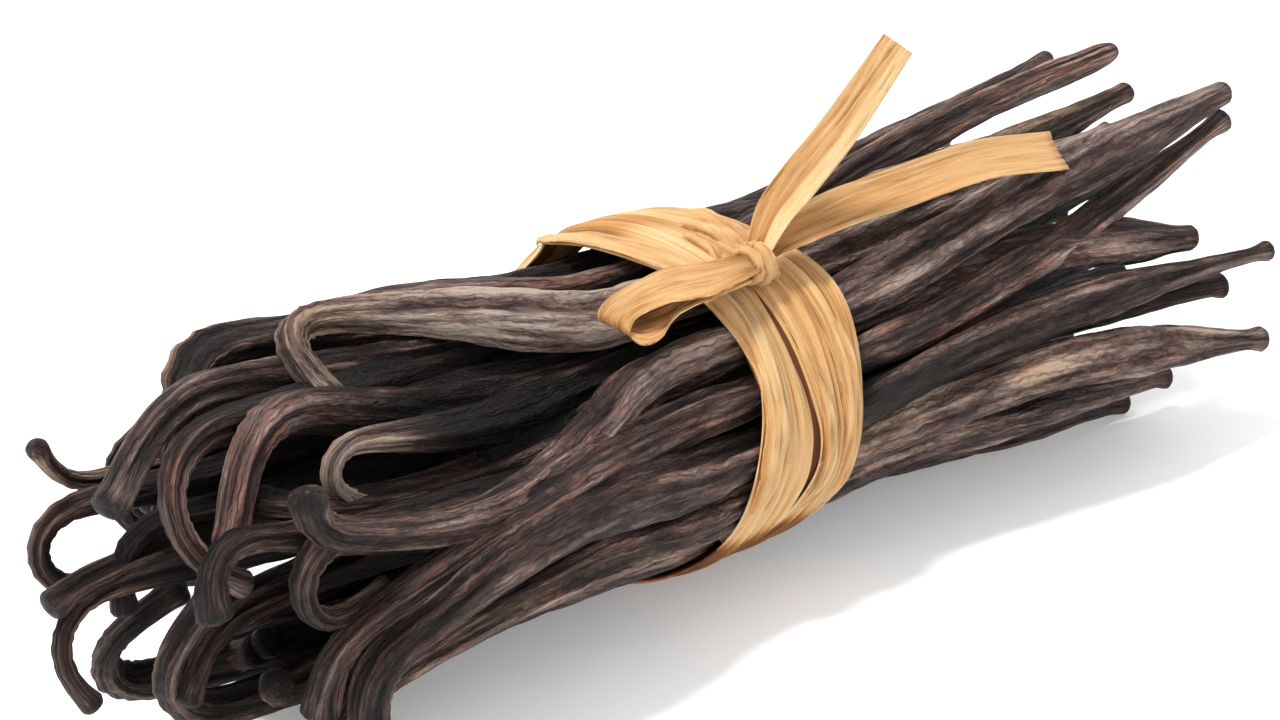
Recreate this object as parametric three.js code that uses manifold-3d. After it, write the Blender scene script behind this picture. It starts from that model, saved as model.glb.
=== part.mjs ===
// A bundle of cured vanilla pods, tied round its middle with raffia.
//
// The bundle lies along X. Its hooked stem ends point to -X and its blossom tips to +X, +Z is up,
// and the floor is z = 0. Two solids: the pods, fused where they press together, and the raffia.
// Lengths are in millimetres and angles in degrees.

import * as THREE from 'three';
import { mergeVertices } from 'three/addons/utils/BufferGeometryUtils.js';
import Module from 'manifold-3d';

const wasm = await Module();
wasm.setup();

// ---- where the part's frame sits in the layout below ----

const LAYOUT_MIDDLE = new THREE.Vector3(8, -2.7, 0);

// ---- the waist of the bundle, where the raffia draws the pods together ----

const WAIST_X = 6;
const WAIST_STRAIGHT = 14;
const WAIST_Z = 22.4;
const WAIST_FRONT = 22.5;
const WAIST_BACK = 19;
const WAIST_HEIGHT = 17.8;

// Pods stand in four rings across the waist, from the middle outwards.
const RINGS = [
  { count: 1, scale: 0, start: 0 },
  { count: 6, scale: 0.34, start: 20 },
  { count: 12, scale: 0.67, start: 10 },
  { count: 17, scale: 1, start: 4 },
];

// ---- one pod ----

const POD_GIRTH = 3.5;
const POD_STEM = 1.9;
const TIP_NECK = 1.55;
const TIP_BULB = 0.6;
const BULB_LENGTH = 2.2;
const STEM_KNOB = 0.35;
const STEM_TAPER = 38;
const TIP_TAPER = 30;
const POD_FLATNESS = 0.9;
const POD_SIDES = 6;
const BURIED_SIDES = 5;
const BODY_STEPS = 7;
const BURIED_STEPS = 4;
const HOOK_STEP = 40;
const STEP_CROWDING = 1.35;

// The pods that can be told apart. tie: ring and place in it, near: start of the stem's hook,
// hook: direction across the bundle (0 front, 90 up), turn, radius and straight tail,
// far: blossom tip. sag and farSag bow the pod sideways and upwards on either side of the waist,
// late delays its spreading away from the waist, taper is the length over which it narrows to the
// tip, stem, girth and neck are half widths, and bulb is how much the tip flares past its neck.
const NAMED_PODS = [
  // outer ring, from the top round the front to the underside
  { tie: [3, 3.2], near: [-43, 4, 47], sag: [2, 1], late: 0.3, hook: [-32, 115, 3.8, 8],
    far: [88, -5, 40], stem: 2, girth: 3.6 },
  { tie: [3, 4], near: [-52, 10, 40], sag: [6, 1.5], late: 0.3, hook: [-75, 60, 11, 14],
    far: [97, 3, 48.5], farSag: [4, 0.5], taper: 50, girth: 3, neck: 1.9, bulb: -0.6 },
  { tie: [3, 5], near: [-54, 8, 44.5], sag: [2, -1], late: 0.3, hook: [-72, 100, 4.5, 2],
    far: [95, -2, 44], farSag: [-4, -1.5], stem: 2.9, girth: 3.7, neck: 1.4, bulb: 0.3 },
  { tie: [3, 6], near: [-50, 14, 38], sag: [0, 3], late: 0.3, hook: [-75, 60, 11, 8],
    far: [96, 15, 44], farSag: [0, -0.5], taper: 45, girth: 3, neck: 1.7, bulb: -0.2 },
  { tie: [3, 2], near: [-57, -22.5, 34.5], sag: [-4, -5.5], hook: [85, 70, 4.5, 3],
    far: [101, -15, 46.5], farSag: [0, 2], taper: 26, stem: 2.1, girth: 3.8, neck: 1.7, bulb: 0.1 },
  { tie: [3, 1], near: [-53, -21.5, 21.5], sag: [-3, 2], late: 1.2, hook: [-95, 60, 9, 5],
    far: [101, -15, 42.3], farSag: [0, -1], taper: 50, stem: 2.3 },
  { tie: [3, 0], near: [-50, -23.5, 18], sag: [-3, 5], late: 1.2, hook: [-85, 65, 9, 7],
    far: [97, -29, 27.3], farSag: [0, 3], taper: 46, stem: 2.6, girth: 3.9, neck: 1.1, bulb: 0.65 },
  { tie: [3, -1], near: [-50, -20, 11.5], sag: [-2, 3], late: 1, hook: [-65, 40, 12, 6],
    far: [94, -32, 15], farSag: [-1, 4], taper: 26, girth: 3.9, neck: 1.45, bulb: 0.65 },
  { tie: [3, -2], near: [-50, -13, 4.5], sag: [1, 1], hook: [-60, 20, 12, 6], far: [88, -20, 6],
    farSag: [0, 1], girth: 3.6 },
  { tie: [3, -3], near: [-64, -8, 7], hook: [78, 130, 8.5, 8], far: [84, -16, 1.4] },
  { tie: [3, -4], near: [-69, 2, 7], hook: [70, 145, 6.8, 8], far: [78, -6, 1.4], stem: 1.8 },
  // second ring
  { tie: [2, 2], near: [-53, -9, 43.5], sag: [2, -3], late: 0.3, hook: [-78, 85, 8, 9],
    far: [84, -8, 39], stem: 2.2, girth: 3.7 },
  { tie: [2, 1], near: [-52, -17, 33.5], sag: [1, -3], hook: [190, 60, 7, 4],
    far: [86, -24, 30.6], farSag: [0, 3], taper: 14, stem: 2.4, neck: 1.7, bulb: 0.2 },
  { tie: [2, 1.6], near: [-50.5, -16, 41.5], sag: [0, -2], hook: [-85, 170, 3.3, 9],
    far: [92, -10, 37], stem: 1.4 },
  { tie: [2, 0], near: [-54.5, -19.3, 32.6], hook: [-85, 205, 5.6, 7], far: [90, -27, 23],
    stem: 1.4 },
  { tie: [2, -1], near: [-65, -17, 35], hook: [-65, 115, 5.6, 2], far: [86, -22, 12], stem: 2 },
  { tie: [2, 3], near: [-63, -7, 43.5], hook: [-62, 150, 8.5, 5], far: [84, 8, 36.5], stem: 1.5 },
  { tie: [2, 4], near: [-58, -1, 44.5], hook: [-70, 50, 18, 8], far: [86, 13, 33.5], stem: 2 },
  { tie: [2, 5], near: [-71, 8, 32.5], hook: [80, 60, 7, 5], far: [84, 20, 26.5], stem: 1.2 },
  // round the middle
  { tie: [1, 1], near: [-75, 5, 32.5], hook: [-80, 195, 5.2, 4], far: [90, -3, 32], stem: 1.3 },
  { tie: [1, 2], near: [-80, -5, 28.5], hook: [-80, 20, 5, 3], far: [84, 7, 29], stem: 1.7 },
  { tie: [1, 0], near: [-77, -5, 27], hook: [-75, 125, 6.6, 4], far: [88, -13, 26], stem: 1.5 },
];

// The rest fill the back, the underside and the middle, laid by rule with seeded variation.
const FILLER_TIES = [
  [3, 7], [3, 8], [3, -5], [3, -6], [3, -7], [3, -8],
  [2, 6], [2, 7], [2, 8], [2, -2], [2, -3],
  [1, 3], [1, 4], [1, 5],
];
const FILLER_NEAR_X = -50;
const FILLER_FAR_X = 88;
const FILLER_FLARE = 1.26;
const FILLER_RANGE = 7;
const FILLER_DROP = 1.42;
const LOWEST_CENTRE = 1.4;

// ---- the core that the buried pods are fused to ----

const CORE_START = -44;
const CORE_END = 50;
const CORE_FILL = 0.88;
const CORE_FLARE = 0.16;
const CORE_SIDES = 16;
const CORE_STEPS = 8;

// ---- the raffia ----

const RAFFIA_GAP = 0.3;
const BAND_INSIDE = 3.35;
const BAND_THICKNESS = 1.1;
const BAND_WIDTH = 15;
const BAND_WIDENING = 2.5;
const BAND_CENTRE = 4.5;
const BAND_SLANT = 9.5;
const BAND_SLANT_AT = 42;
const BAND_LIFT = 1.8;
const BAND_LIFT_AT = 110;
const BAND_LIFT_SPAN = 24;
const BAND_STEPS = 36;
const BAND_STRANDS = 3;
const STRAND_RELIEF = 0.45;
const RIBBON_THICKNESS = 1;
const KNOT = { at: [13.7, -10.8, 44.1], size: [4.8, 4.8, 3.4] };
const LOOP_WIDTH = 6;
const TAIL_WIDTH = 5.4;
const LOOP_POINTS = [
  [13, -11, 44.5], [3, -11.5, 45.2], [-6, -12.5, 45.6], [-10.5, -13.2, 44.8], [-11.6, -13.8, 43],
  [-9.5, -14.6, 41.6], [-4, -14.8, 41.6], [4, -13.6, 42.6], [13, -12, 43],
];
const RISING_TAIL = [
  [13.7, -10.8, 45], [16.7, -11, 49], [20.6, -11.5, 51.6], [25.3, -13.3, 57.1],
  [28.9, -15.3, 64.4], [31.7, -17, 70.2],
];
const LYING_TAIL = [
  [13.7, -10.8, 44], [18, -12, 45.3], [26.7, -13, 47], [36.4, -14, 47.8], [50, -15, 48.6],
  [64.3, -16, 46.8],
];

const MATERIALS = {
  pods: new THREE.MeshStandardMaterial({ color: 0x2e2220, roughness: 0.5, metalness: 0 }),
  raffia: new THREE.MeshStandardMaterial({ color: 0xd9a968, roughness: 0.65, metalness: 0 }),
};

// ---- small helpers ----

const radians = THREE.MathUtils.degToRad;
const mix = THREE.MathUtils.lerp;

/** A seeded number from 0 to 1. */
function draw(seed) {
  const wave = Math.sin(seed * 12.9898) * 43758.5453;
  return wave - Math.floor(wave);
}

/** 0 to 1, slowly at first. A larger delay keeps it low for longer. */
function spread(u, delay) {
  return ((1 + delay) * u * u) / (u + delay);
}

function smooth(u) {
  return THREE.MathUtils.smoothstep(u, 0, 1);
}

/** Point on the waist's outline of pod centres, scaled about its middle. */
function waistPoint(angle, scale, x = WAIST_X) {
  const side = -Math.cos(radians(angle));
  const reach = side < 0 ? WAIST_FRONT : WAIST_BACK;
  return new THREE.Vector3(
    x,
    scale * reach * side,
    WAIST_Z + scale * WAIST_HEIGHT * Math.sin(radians(angle)),
  );
}

function tiePoint([ring, place]) {
  const { count, scale, start } = RINGS[ring];
  return waistPoint(start + (360 * place) / count, scale);
}

// ---- pods ----

function isOuter(pod) {
  return pod.tie[0] === RINGS.length - 1;
}

/** Fills in what a pod's entry leaves out. */
function podEntry(entry) {
  const bows = { sag: [0, 0], farSag: [0, 0], late: 0.5 };
  const widths = { stem: POD_STEM, girth: POD_GIRTH, taper: TIP_TAPER };
  return { ...bows, ...widths, neck: TIP_NECK, bulb: TIP_BULB, ...entry };
}

/** A pod that no one can tell apart from its neighbours. */
function fillerEntry(tie, index) {
  const vary = (n) => 2 * draw(index * 7 + n) - 1;
  const at = tiePoint(tie);
  const end = (x, flare) => {
    const y = at.y * flare + vary(3) * 2;
    const rise = at.z - WAIST_Z;
    const z = WAIST_Z + rise * (rise < 0 ? FILLER_DROP : flare) + vary(4) * 1.5;
    return [x, y, Math.max(LOWEST_CENTRE, z)];
  };
  const near = end(FILLER_NEAR_X + vary(1) * FILLER_RANGE, FILLER_FLARE);
  const toward = near[2] < WAIST_Z ? 60 + vary(5) * 35 : -70 + vary(5) * 30;
  const hook = [toward, 95 + vary(6) * 45, 6.5 + vary(7) * 1.5, 4 + vary(8) * 2];
  const far = end(FILLER_FAR_X + vary(2) * FILLER_RANGE, FILLER_FLARE + 0.05);
  return { tie, near, hook, far, girth: POD_GIRTH + vary(9) * 0.3 };
}

/** One side of a pod, from the waist to its end, as points. */
function podArm(tie, end, sag, delay, start, steps) {
  const points = [];
  for (let i = 0; i <= steps; i++) {
    const u = 1 - (1 - i / steps) ** STEP_CROWDING;
    const away = spread(u, delay);
    const bow = Math.sin(Math.PI * u);
    points.push(new THREE.Vector3(
      mix(start, end[0], u),
      mix(tie.y, end[1], away) + sag[0] * bow,
      mix(tie.z, end[2], away) + sag[1] * bow,
    ));
  }
  return points;
}

/** The stem's hook, onwards from the last point of its arm. */
function hookPoints(arm, [toward, turn, radius, tail]) {
  const last = arm[arm.length - 1];
  const ahead = last.clone().sub(arm[arm.length - 2]).normalize();
  const side = new THREE.Vector3(0, -Math.cos(radians(toward)), Math.sin(radians(toward)));
  side.addScaledVector(ahead, -side.dot(ahead)).normalize();
  const points = [];
  const steps = Math.max(2, Math.ceil(turn / HOOK_STEP));
  for (let i = 1; i <= steps; i++) {
    const angle = radians((turn * i) / steps);
    points.push(last.clone()
      .addScaledVector(ahead, radius * Math.sin(angle))
      .addScaledVector(side, radius * (1 - Math.cos(angle))));
  }
  const end = points[points.length - 1];
  const leaving = ahead.clone().multiplyScalar(Math.cos(radians(turn)))
    .addScaledVector(side, Math.sin(radians(turn)));
  points.push(end.clone().addScaledVector(leaving, tail * 0.6));
  points.push(end.clone().addScaledVector(leaving, tail));
  return points;
}

/** The pod's centre line from the stem's end to the blossom tip. */
function podPath(pod) {
  const tie = tiePoint(pod.tie);
  const steps = isOuter(pod) ? BODY_STEPS : BURIED_STEPS;
  const nearArm = podArm(tie, pod.near, pod.sag, pod.late, WAIST_X - WAIST_STRAIGHT, steps);
  const farArm = podArm(tie, pod.far, pod.farSag, 0.5, WAIST_X + WAIST_STRAIGHT, steps);
  return [...hookPoints(nearArm, pod.hook).reverse(), ...nearArm.reverse(), ...farArm];
}

/** Distance from each point of a path to its start. */
function distances(path) {
  const out = [0];
  for (let i = 1; i < path.length; i++) {
    out.push(out[i - 1] + path[i].distanceTo(path[i - 1]));
  }
  return out;
}

/** Half the pod's width at a distance from the stem's end. */
function podWidth(pod, along, length) {
  const fromStem = mix(pod.stem, pod.girth, smooth((along - 10) / STEM_TAPER));
  const fromTip = mix(pod.neck, pod.girth, smooth((length - along) / pod.taper));
  const knob = STEM_KNOB * Math.exp(-((along / 2) ** 2));
  const bulb = pod.bulb * Math.exp(-(((length - along) / BULB_LENGTH) ** 2));
  return Math.min(fromStem + knob, fromTip + bulb);
}

/** Frames that follow a path without spinning about it. */
function pathFrames(path, startNormal) {
  const frames = [];
  let normal = startNormal.clone();
  for (let i = 0; i < path.length; i++) {
    const ahead = path[Math.min(i + 1, path.length - 1)].clone()
      .sub(path[Math.max(i - 1, 0)]).normalize();
    normal = normal.clone().addScaledVector(ahead, -normal.dot(ahead)).normalize();
    frames.push({ at: path[i], normal, across: ahead.clone().cross(normal) });
  }
  return frames;
}

/** A lathe-turned rod whose turns are then set along a path. */
function rodGeometry(path, frames, widths, sides, flatness) {
  const profile = [new THREE.Vector2(0, 0)];
  for (let i = 0; i < path.length; i++) {
    profile.push(new THREE.Vector2(1, i + 1));
  }
  profile.push(new THREE.Vector2(0, path.length + 1));
  const geometry = new THREE.LatheGeometry(profile, sides);
  const position = geometry.attributes.position;
  for (let v = 0; v < position.count; v++) {
    const turn = Math.round(position.getY(v));
    const i = THREE.MathUtils.clamp(turn - 1, 0, path.length - 1);
    const { at, normal, across } = frames[i];
    const point = at.clone()
      .addScaledVector(normal, position.getX(v) * widths[i] * flatness)
      .addScaledVector(across, (position.getZ(v) * widths[i]) / flatness);
    position.setXYZ(v, point.x, point.y, point.z);
  }
  return geometry;
}

function podGeometry(pod, swell = 0) {
  const sides = isOuter(pod) ? POD_SIDES : BURIED_SIDES;
  const path = podPath(pod);
  const along = distances(path);
  const length = along[along.length - 1];
  const widths = along.map((s) => podWidth(pod, s, length) + swell);
  const tie = tiePoint(pod.tie);
  const outward = new THREE.Vector3(0, tie.y, tie.z - WAIST_Z + 0.01).normalize();
  return rodGeometry(path, pathFrames(path, outward), widths, sides, POD_FLATNESS);
}

/** A barrel inside the bundle, a little smaller than the ring of outer pods. */
function coreGeometry() {
  const profile = [new THREE.Vector2(0, CORE_START)];
  for (let i = 0; i <= CORE_STEPS; i++) {
    const u = i / CORE_STEPS;
    const x = mix(CORE_START, CORE_END, u);
    const flare = CORE_FLARE * ((x - WAIST_X) / (CORE_END - WAIST_X)) ** 2;
    profile.push(new THREE.Vector2(CORE_FILL + flare, x));
  }
  profile.push(new THREE.Vector2(0, CORE_END));
  const geometry = new THREE.LatheGeometry(profile, CORE_SIDES);
  const position = geometry.attributes.position;
  for (let v = 0; v < position.count; v++) {
    const [across, x, up] = [position.getX(v), position.getY(v), position.getZ(v)];
    const reach = across < 0 ? WAIST_FRONT : WAIST_BACK;
    position.setXYZ(v, x, across * reach, WAIST_Z + up * WAIST_HEIGHT);
  }
  return geometry;
}

// ---- joining and cutting ----

function solid(geometry) {
  const bare = geometry.clone();
  bare.deleteAttribute('normal');
  bare.deleteAttribute('uv');
  const merged = mergeVertices(bare.index ? bare.toNonIndexed() : bare, 1e-4);
  const triVerts = new Uint32Array(merged.index.array);
  const make = () => new wasm.Manifold(new wasm.Mesh({
    numProp: 3, vertProperties: new Float32Array(merged.attributes.position.array), triVerts,
  }));
  const made = make();
  if (made.volume() > 0) {
    return made;
  }
  for (let t = 0; t < triVerts.length; t += 3) {
    [triVerts[t + 1], triVerts[t + 2]] = [triVerts[t + 2], triVerts[t + 1]];
  }
  return make();
}

/** The largest piece of a solid, so that loose scraps are dropped. */
function largest(joined) {
  return joined.decompose().reduce((a, b) => (b.volume() > a.volume() ? b : a));
}

/** All of space above the floor that the bundle can reach. */
function aboveFloor() {
  const size = 400;
  const box = new THREE.BoxGeometry(size, size, size);
  box.translate(0, 0, size / 2);
  return solid(box);
}

function meshOf(name, joined, material) {
  const { vertProperties, triVerts } = joined.getMesh();
  const geometry = new THREE.BufferGeometry();
  geometry.setAttribute('position', new THREE.BufferAttribute(vertProperties, 3));
  geometry.setIndex(new THREE.BufferAttribute(triVerts, 1));
  const mesh = new THREE.Mesh(geometry, material);
  mesh.name = name;
  mesh.position.copy(LAYOUT_MIDDLE).negate();
  return mesh;
}

// ---- raffia ----

/** Where the band's middle crosses the bundle at an angle round it. */
function bandX(angle) {
  return BAND_CENTRE + BAND_SLANT * Math.cos(radians(angle - BAND_SLANT_AT));
}

/** The band is gathered at the back, and stands off the pods where it turns over the top. */
function bandWidth(angle) {
  return BAND_WIDTH + BAND_WIDENING * Math.cos(radians(angle));
}

function bandLift(angle) {
  return BAND_LIFT * Math.exp(-(((angle - BAND_LIFT_AT) / BAND_LIFT_SPAN) ** 2));
}

/** A closed band round the waist, its face ribbed by the strands side by side. */
function bandGeometry() {
  const profile = [new THREE.Vector2(BAND_INSIDE, -0.5), new THREE.Vector2(BAND_INSIDE, 0.5)];
  for (let strand = 0; strand < BAND_STRANDS; strand++) {
    for (const [u, relief] of [[0, -STRAND_RELIEF], [0.5, 0]]) {
      const across = 0.5 - (strand + u) / BAND_STRANDS;
      profile.push(new THREE.Vector2(BAND_INSIDE + BAND_THICKNESS + relief, across));
    }
  }
  profile.push(new THREE.Vector2(BAND_INSIDE + BAND_THICKNESS - STRAND_RELIEF, -0.5));
  profile.push(profile[0].clone());
  const geometry = new THREE.LatheGeometry(
    profile.map((p) => new THREE.Vector2(p.x + 1, p.y)), BAND_STEPS);
  const position = geometry.attributes.position;
  for (let v = 0; v < position.count; v++) {
    const angle = (Math.atan2(position.getZ(v), position.getX(v)) * 180) / Math.PI;
    const out = Math.hypot(position.getX(v), position.getZ(v)) - 1;
    const at = waistPoint(angle, 1, bandX(angle) + position.getY(v) * bandWidth(angle));
    const outward = new THREE.Vector3(0, -Math.cos(radians(angle)), Math.sin(radians(angle)));
    at.addScaledVector(outward, out + bandLift(angle));
    position.setXYZ(v, at.x, at.y, at.z);
  }
  return geometry;
}

/** A flat strip along a smooth curve through points, lying across the bundle. */
function ribbonGeometry(points, width, steps, facing) {
  const curve = new THREE.CatmullRomCurve3(points.map((p) => new THREE.Vector3(...p)));
  const path = curve.getSpacedPoints(steps);
  const frames = pathFrames(path, facing);
  const geometry = new THREE.BoxGeometry(steps, width, RIBBON_THICKNESS, steps, 1, 1);
  const position = geometry.attributes.position;
  for (let v = 0; v < position.count; v++) {
    const { at, normal, across } = frames[Math.round(position.getX(v) + steps / 2)];
    const point = at.clone()
      .addScaledVector(across, position.getY(v))
      .addScaledVector(normal, position.getZ(v));
    position.setXYZ(v, point.x, point.y, point.z);
  }
  return geometry;
}

function knotGeometry() {
  const geometry = new THREE.SphereGeometry(1, 12, 8);
  geometry.scale(...KNOT.size);
  geometry.rotateX(radians(25));
  geometry.translate(...KNOT.at);
  return geometry;
}

// ---- the two parts ----

const pods = [...NAMED_PODS, ...FILLER_TIES.map(fillerEntry)].map(podEntry);
const floorUp = aboveFloor();

function podBundle() {
  const rods = pods.map((pod) => solid(podGeometry(pod)));
  const joined = wasm.Manifold.union([solid(coreGeometry()), ...rods]);
  return largest(joined.intersect(floorUp));
}

function raffiaTie() {
  const up = new THREE.Vector3(0, -0.35, 1).normalize();
  const parts = [
    bandGeometry(),
    knotGeometry(),
    ribbonGeometry(LOOP_POINTS, LOOP_WIDTH, 20, up),
    ribbonGeometry(RISING_TAIL, TAIL_WIDTH, 7, new THREE.Vector3(-0.55, -0.7, 0.46)),
    ribbonGeometry(LYING_TAIL, TAIL_WIDTH, 8, new THREE.Vector3(-0.2, -0.6, 0.77)),
  ].map(solid);
  const rods = pods.filter(isOuter).map((pod) => solid(podGeometry(pod, RAFFIA_GAP)));
  const clearance = wasm.Manifold.union(rods);
  return largest(wasm.Manifold.union(parts).subtract(clearance).intersect(floorUp));
}

const bundle = new THREE.Group();
bundle.add(meshOf('vanilla_pods', podBundle(), MATERIALS.pods));
bundle.add(meshOf('raffia_tie', raffiaTie(), MATERIALS.raffia));

export default bundle;
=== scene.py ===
"""A bundle of cured vanilla pods, tied round its middle with raffia.

The bundle lies along X: hooked stem ends at -X, blossom tips at +X, +Z up, floor at z = 0.
Lengths are in millimetres until a mesh is laid out, and angles in degrees. Round the waist an
angle of 0 is the front (-Y), 90 the top, 180 the back and 270 the underside.
"""

import math

import bpy
import numpy as np
from mathutils import Matrix, Vector


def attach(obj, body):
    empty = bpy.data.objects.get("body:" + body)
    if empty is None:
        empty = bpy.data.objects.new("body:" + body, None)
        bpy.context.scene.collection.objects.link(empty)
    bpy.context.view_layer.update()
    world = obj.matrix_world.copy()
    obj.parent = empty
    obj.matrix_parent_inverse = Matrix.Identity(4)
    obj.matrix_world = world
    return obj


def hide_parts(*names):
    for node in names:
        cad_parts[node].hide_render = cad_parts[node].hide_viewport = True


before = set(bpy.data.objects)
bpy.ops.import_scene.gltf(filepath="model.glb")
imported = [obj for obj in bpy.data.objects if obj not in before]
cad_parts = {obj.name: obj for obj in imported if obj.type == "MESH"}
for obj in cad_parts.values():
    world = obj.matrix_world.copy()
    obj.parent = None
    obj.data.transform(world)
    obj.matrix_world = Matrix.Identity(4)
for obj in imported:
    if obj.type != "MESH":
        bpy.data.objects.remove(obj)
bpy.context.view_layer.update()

MM = 0.001

# ---- layout of the bundle, which follows the solids' but for three pods inside it ----

LAYOUT_MIDDLE = np.array([8.0, -2.7, 0.0])

# The waist, where the band holds the pods: its place, and its reach to the front, back and top.
WAIST_X = 6
WAIST_STRAIGHT = 14
WAIST_Z = 22.4
WAIST_FRONT = 22.5
WAIST_BACK = 19
WAIST_HEIGHT = 17.8

# Pods stand in four rings across the waist: how many, how far out, and the first one's angle.
RINGS = [(1, 0, 0), (6, 0.34, 20), (12, 0.67, 10), (17, 1, 4)]

POD_GIRTH = 3.5
POD_STEM = 1.9
TIP_NECK = 1.55
TIP_BULB = 0.6
BULB_LENGTH = 2.2
STEM_KNOB = 0.35
KNOB_LENGTH = 2
STEM_FROM = 10
STEM_TAPER = 38
TIP_TAPER = 30
SPREAD_DELAY = 0.5
# The steps that the solids have along an outer and a buried pod. A hook sets off along the last.
STEP_CROWDING = 1.35
BODY_STEPS = 7
BURIED_STEPS = 4

# The pods that can be told apart. tie: ring and place in it, near: start of the stem's hook, hook:
# direction across the bundle, turn, radius and straight tail, far: blossom tip. sag and far_sag bow
# the pod sideways and upwards on either side of the waist, and late delays its spreading. stem,
# girth and neck are half widths at the stem, along the pod and at the tip, bulb is how much the
# tip's end swells, and taper is the length over which the pod narrows to it. look is how light, red
# and tan the skin is, and stem_look the same towards the stem. Their lightness is partly the skin's
# own tone and partly painted light and shade: raised on the top pod for its lit top, lowered on
# pods below it as painted shade in the hollow. Without them a seeded draw says.
NAMED_PODS = [
    dict(tie=(3, 3.2), near=(-43, 4, 47), sag=(2, 1), late=0.3, hook=(-32, 115, 3.8, 8),
         far=(88, -5, 40), stem=2, girth=3.6, look=(2.2, 0, 0.4), stem_look=(1.4, 0.1, 0.9)),
    dict(tie=(3, 4), near=(-52, 10, 40), sag=(6, 1.5), late=0.3, hook=(-75, 60, 11, 14),
         far=(97, 3, 48.5), far_sag=(4, 0.5), taper=50, girth=3, neck=1.9, bulb=-0.6),
    dict(tie=(3, 5), near=(-54, 8, 44.5), sag=(2, -1), late=0.3, hook=(-72, 100, 4.5, 2),
         far=(95, -2, 44), far_sag=(-4, -1.5), stem=2.9, girth=3.7, neck=1.4, bulb=0.3),
    dict(tie=(3, 6), near=(-50, 14, 38), sag=(0, 3), late=0.3, hook=(-75, 60, 11, 8),
         far=(96, 15, 44), far_sag=(0, -0.5), taper=45, girth=3, neck=1.7, bulb=-0.2),
    dict(tie=(3, 2), near=(-57, -22.5, 34.5), sag=(-4, -5.5), hook=(85, 70, 4.5, 3),
         far=(101, -15, 46.5), far_sag=(0, 2), taper=26, stem=2.1, girth=3.8, neck=1.7, bulb=0.1,
         look=(1.1, 0.3, 0.2)),
    dict(tie=(3, 1), near=(-53, -21.5, 21.5), sag=(-3, 2), late=1.2, hook=(-95, 60, 9, 5),
         far=(101, -15, 42.3), far_sag=(0, -1), taper=50, stem=2.3,
         look=(0.9, 0.9, 0.1)),
    dict(tie=(3, 0), near=(-50, -23.5, 18), sag=(-3, 5), late=1.2, hook=(-85, 65, 9, 7),
         far=(97, -29, 27.3), far_sag=(0, 3), taper=46, stem=2.6, girth=3.9, neck=1.1, bulb=0.65),
    dict(tie=(3, -1), near=(-50, -20, 11.5), sag=(-2, 3), late=1, hook=(-65, 40, 12, 6),
         far=(94, -32, 15), far_sag=(-1, 4), taper=26, girth=3.9, neck=1.45, bulb=0.65,
         look=(1.0, 0.5, 0.7)),
    dict(tie=(3, -2), near=(-50, -13, 4.5), sag=(1, 1), hook=(-60, 20, 12, 6), far=(88, -20, 6),
         far_sag=(0, 1), girth=3.6),
    dict(tie=(3, -3), near=(-64, -8, 7), hook=(78, 130, 8.5, 8), far=(84, -16, 1.4)),
    dict(tie=(3, -4), near=(-69, 2, 7), hook=(70, 145, 6.8, 8), far=(78, -6, 1.4), stem=1.8),
    dict(tie=(2, 2), near=(-53, -9, 43.5), sag=(2, -3), late=0.3, hook=(-78, 85, 8, 9),
         far=(84, -8, 39), stem=2.2, girth=3.7,
         look=(0, 0.3, 0.1), stem_look=(1.1, 1, 0.1)),
    dict(tie=(2, 1), near=(-52, -17, 33.5), sag=(1, -3), hook=(190, 60, 7, 4),
         far=(86, -24, 30.6), far_sag=(0, 3), taper=14, stem=2.4, neck=1.7, bulb=0.2,
         look=(1, 0.3, 0.3), stem_look=(0.3, 0.3, 0.3)),
    dict(tie=(2, 1.6), near=(-50.5, -16, 41.5), sag=(0, -2), hook=(-85, 170, 3.3, 9),
         far=(92, -10, 37), stem=1.25,
         look=(-0.6, 0.2, 0.2), stem_look=(2.7, 0.2, 1.1)),
    dict(tie=(2, 0), near=(-54.5, -19.3, 32.6), hook=(-85, 205, 5.6, 7), far=(90, -27, 23),
         stem=1.4,
         look=(0.6, 0.3, 0.2), stem_look=(0.7, 0.3, 0.2)),
    dict(tie=(2, -1), near=(-65, -17, 35), hook=(-65, 115, 5.6, 2), far=(86, -22, 12), stem=2),
    dict(tie=(2, 3), near=(-63, -7, 43.5), hook=(-62, 150, 8.5, 5), far=(84, 8, 36.5), stem=1.5,
         look=(0, 0.4, 0.2), stem_look=(1.4, 1.2, 0.2)),
    dict(tie=(2, 4), near=(-58, -1, 44.5), hook=(-70, 50, 18, 8), far=(86, 13, 33.5), stem=2),
    dict(tie=(2, 5), near=(-71, 8, 32.5), hook=(80, 60, 7, 5), far=(84, 20, 26.5), stem=1.2,
         look=(0, 0.1, 0.9), stem_look=(1.3, 0.1, 0.9)),
    # The solids have these two inside the bundle, with no ends of their own that show.
    dict(tie=(1, 5), near=(-62, -9, 19.5), hook=(-80, 60, 8, 5), far=(91, -7, 17.5), stem=1.6,
         look=(0.3, 0.6, 0.1)),
    dict(tie=(1, 0.5), near=(-68, -3, 32), hook=(-80, 100, 6, 4), far=(80, -4, 30), stem=1.5,
         look=(0.2, 0.4, 0.3)),
    dict(tie=(1, 1), near=(-75, 5, 32.5), hook=(-80, 195, 5.2, 4), far=(90, -3, 32), stem=1.3),
    dict(tie=(1, 2), near=(-80, -5, 28.5), hook=(-80, 20, 5, 3), far=(84, 7, 29), stem=1.7),
    dict(tie=(1, 0), near=(-77, -5, 27), hook=(-75, 125, 6.6, 4), far=(88, -13, 26), stem=1.3),
]

# The dark middle that the pods lie on, a near-black barrel put in as painted shade deep between
# the pods: it lies between two places along the bundle, and its girth is a share of the waist's own
# reach and grows a little away from it.
CORE_SIDES = 48
CORE_RINGS = 32
CORE_FROM = -34
CORE_TO = 44
CORE_FILL = 0.74
CORE_FLARE = 0.03
CORE_FLARE_AT = 44
CORE_SQUARENESS = 2.2
# Near-black, as the painted shade deep inside the bundle.
CORE_SHADE_LOOK = (-2.5, 0.3, 0)

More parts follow.
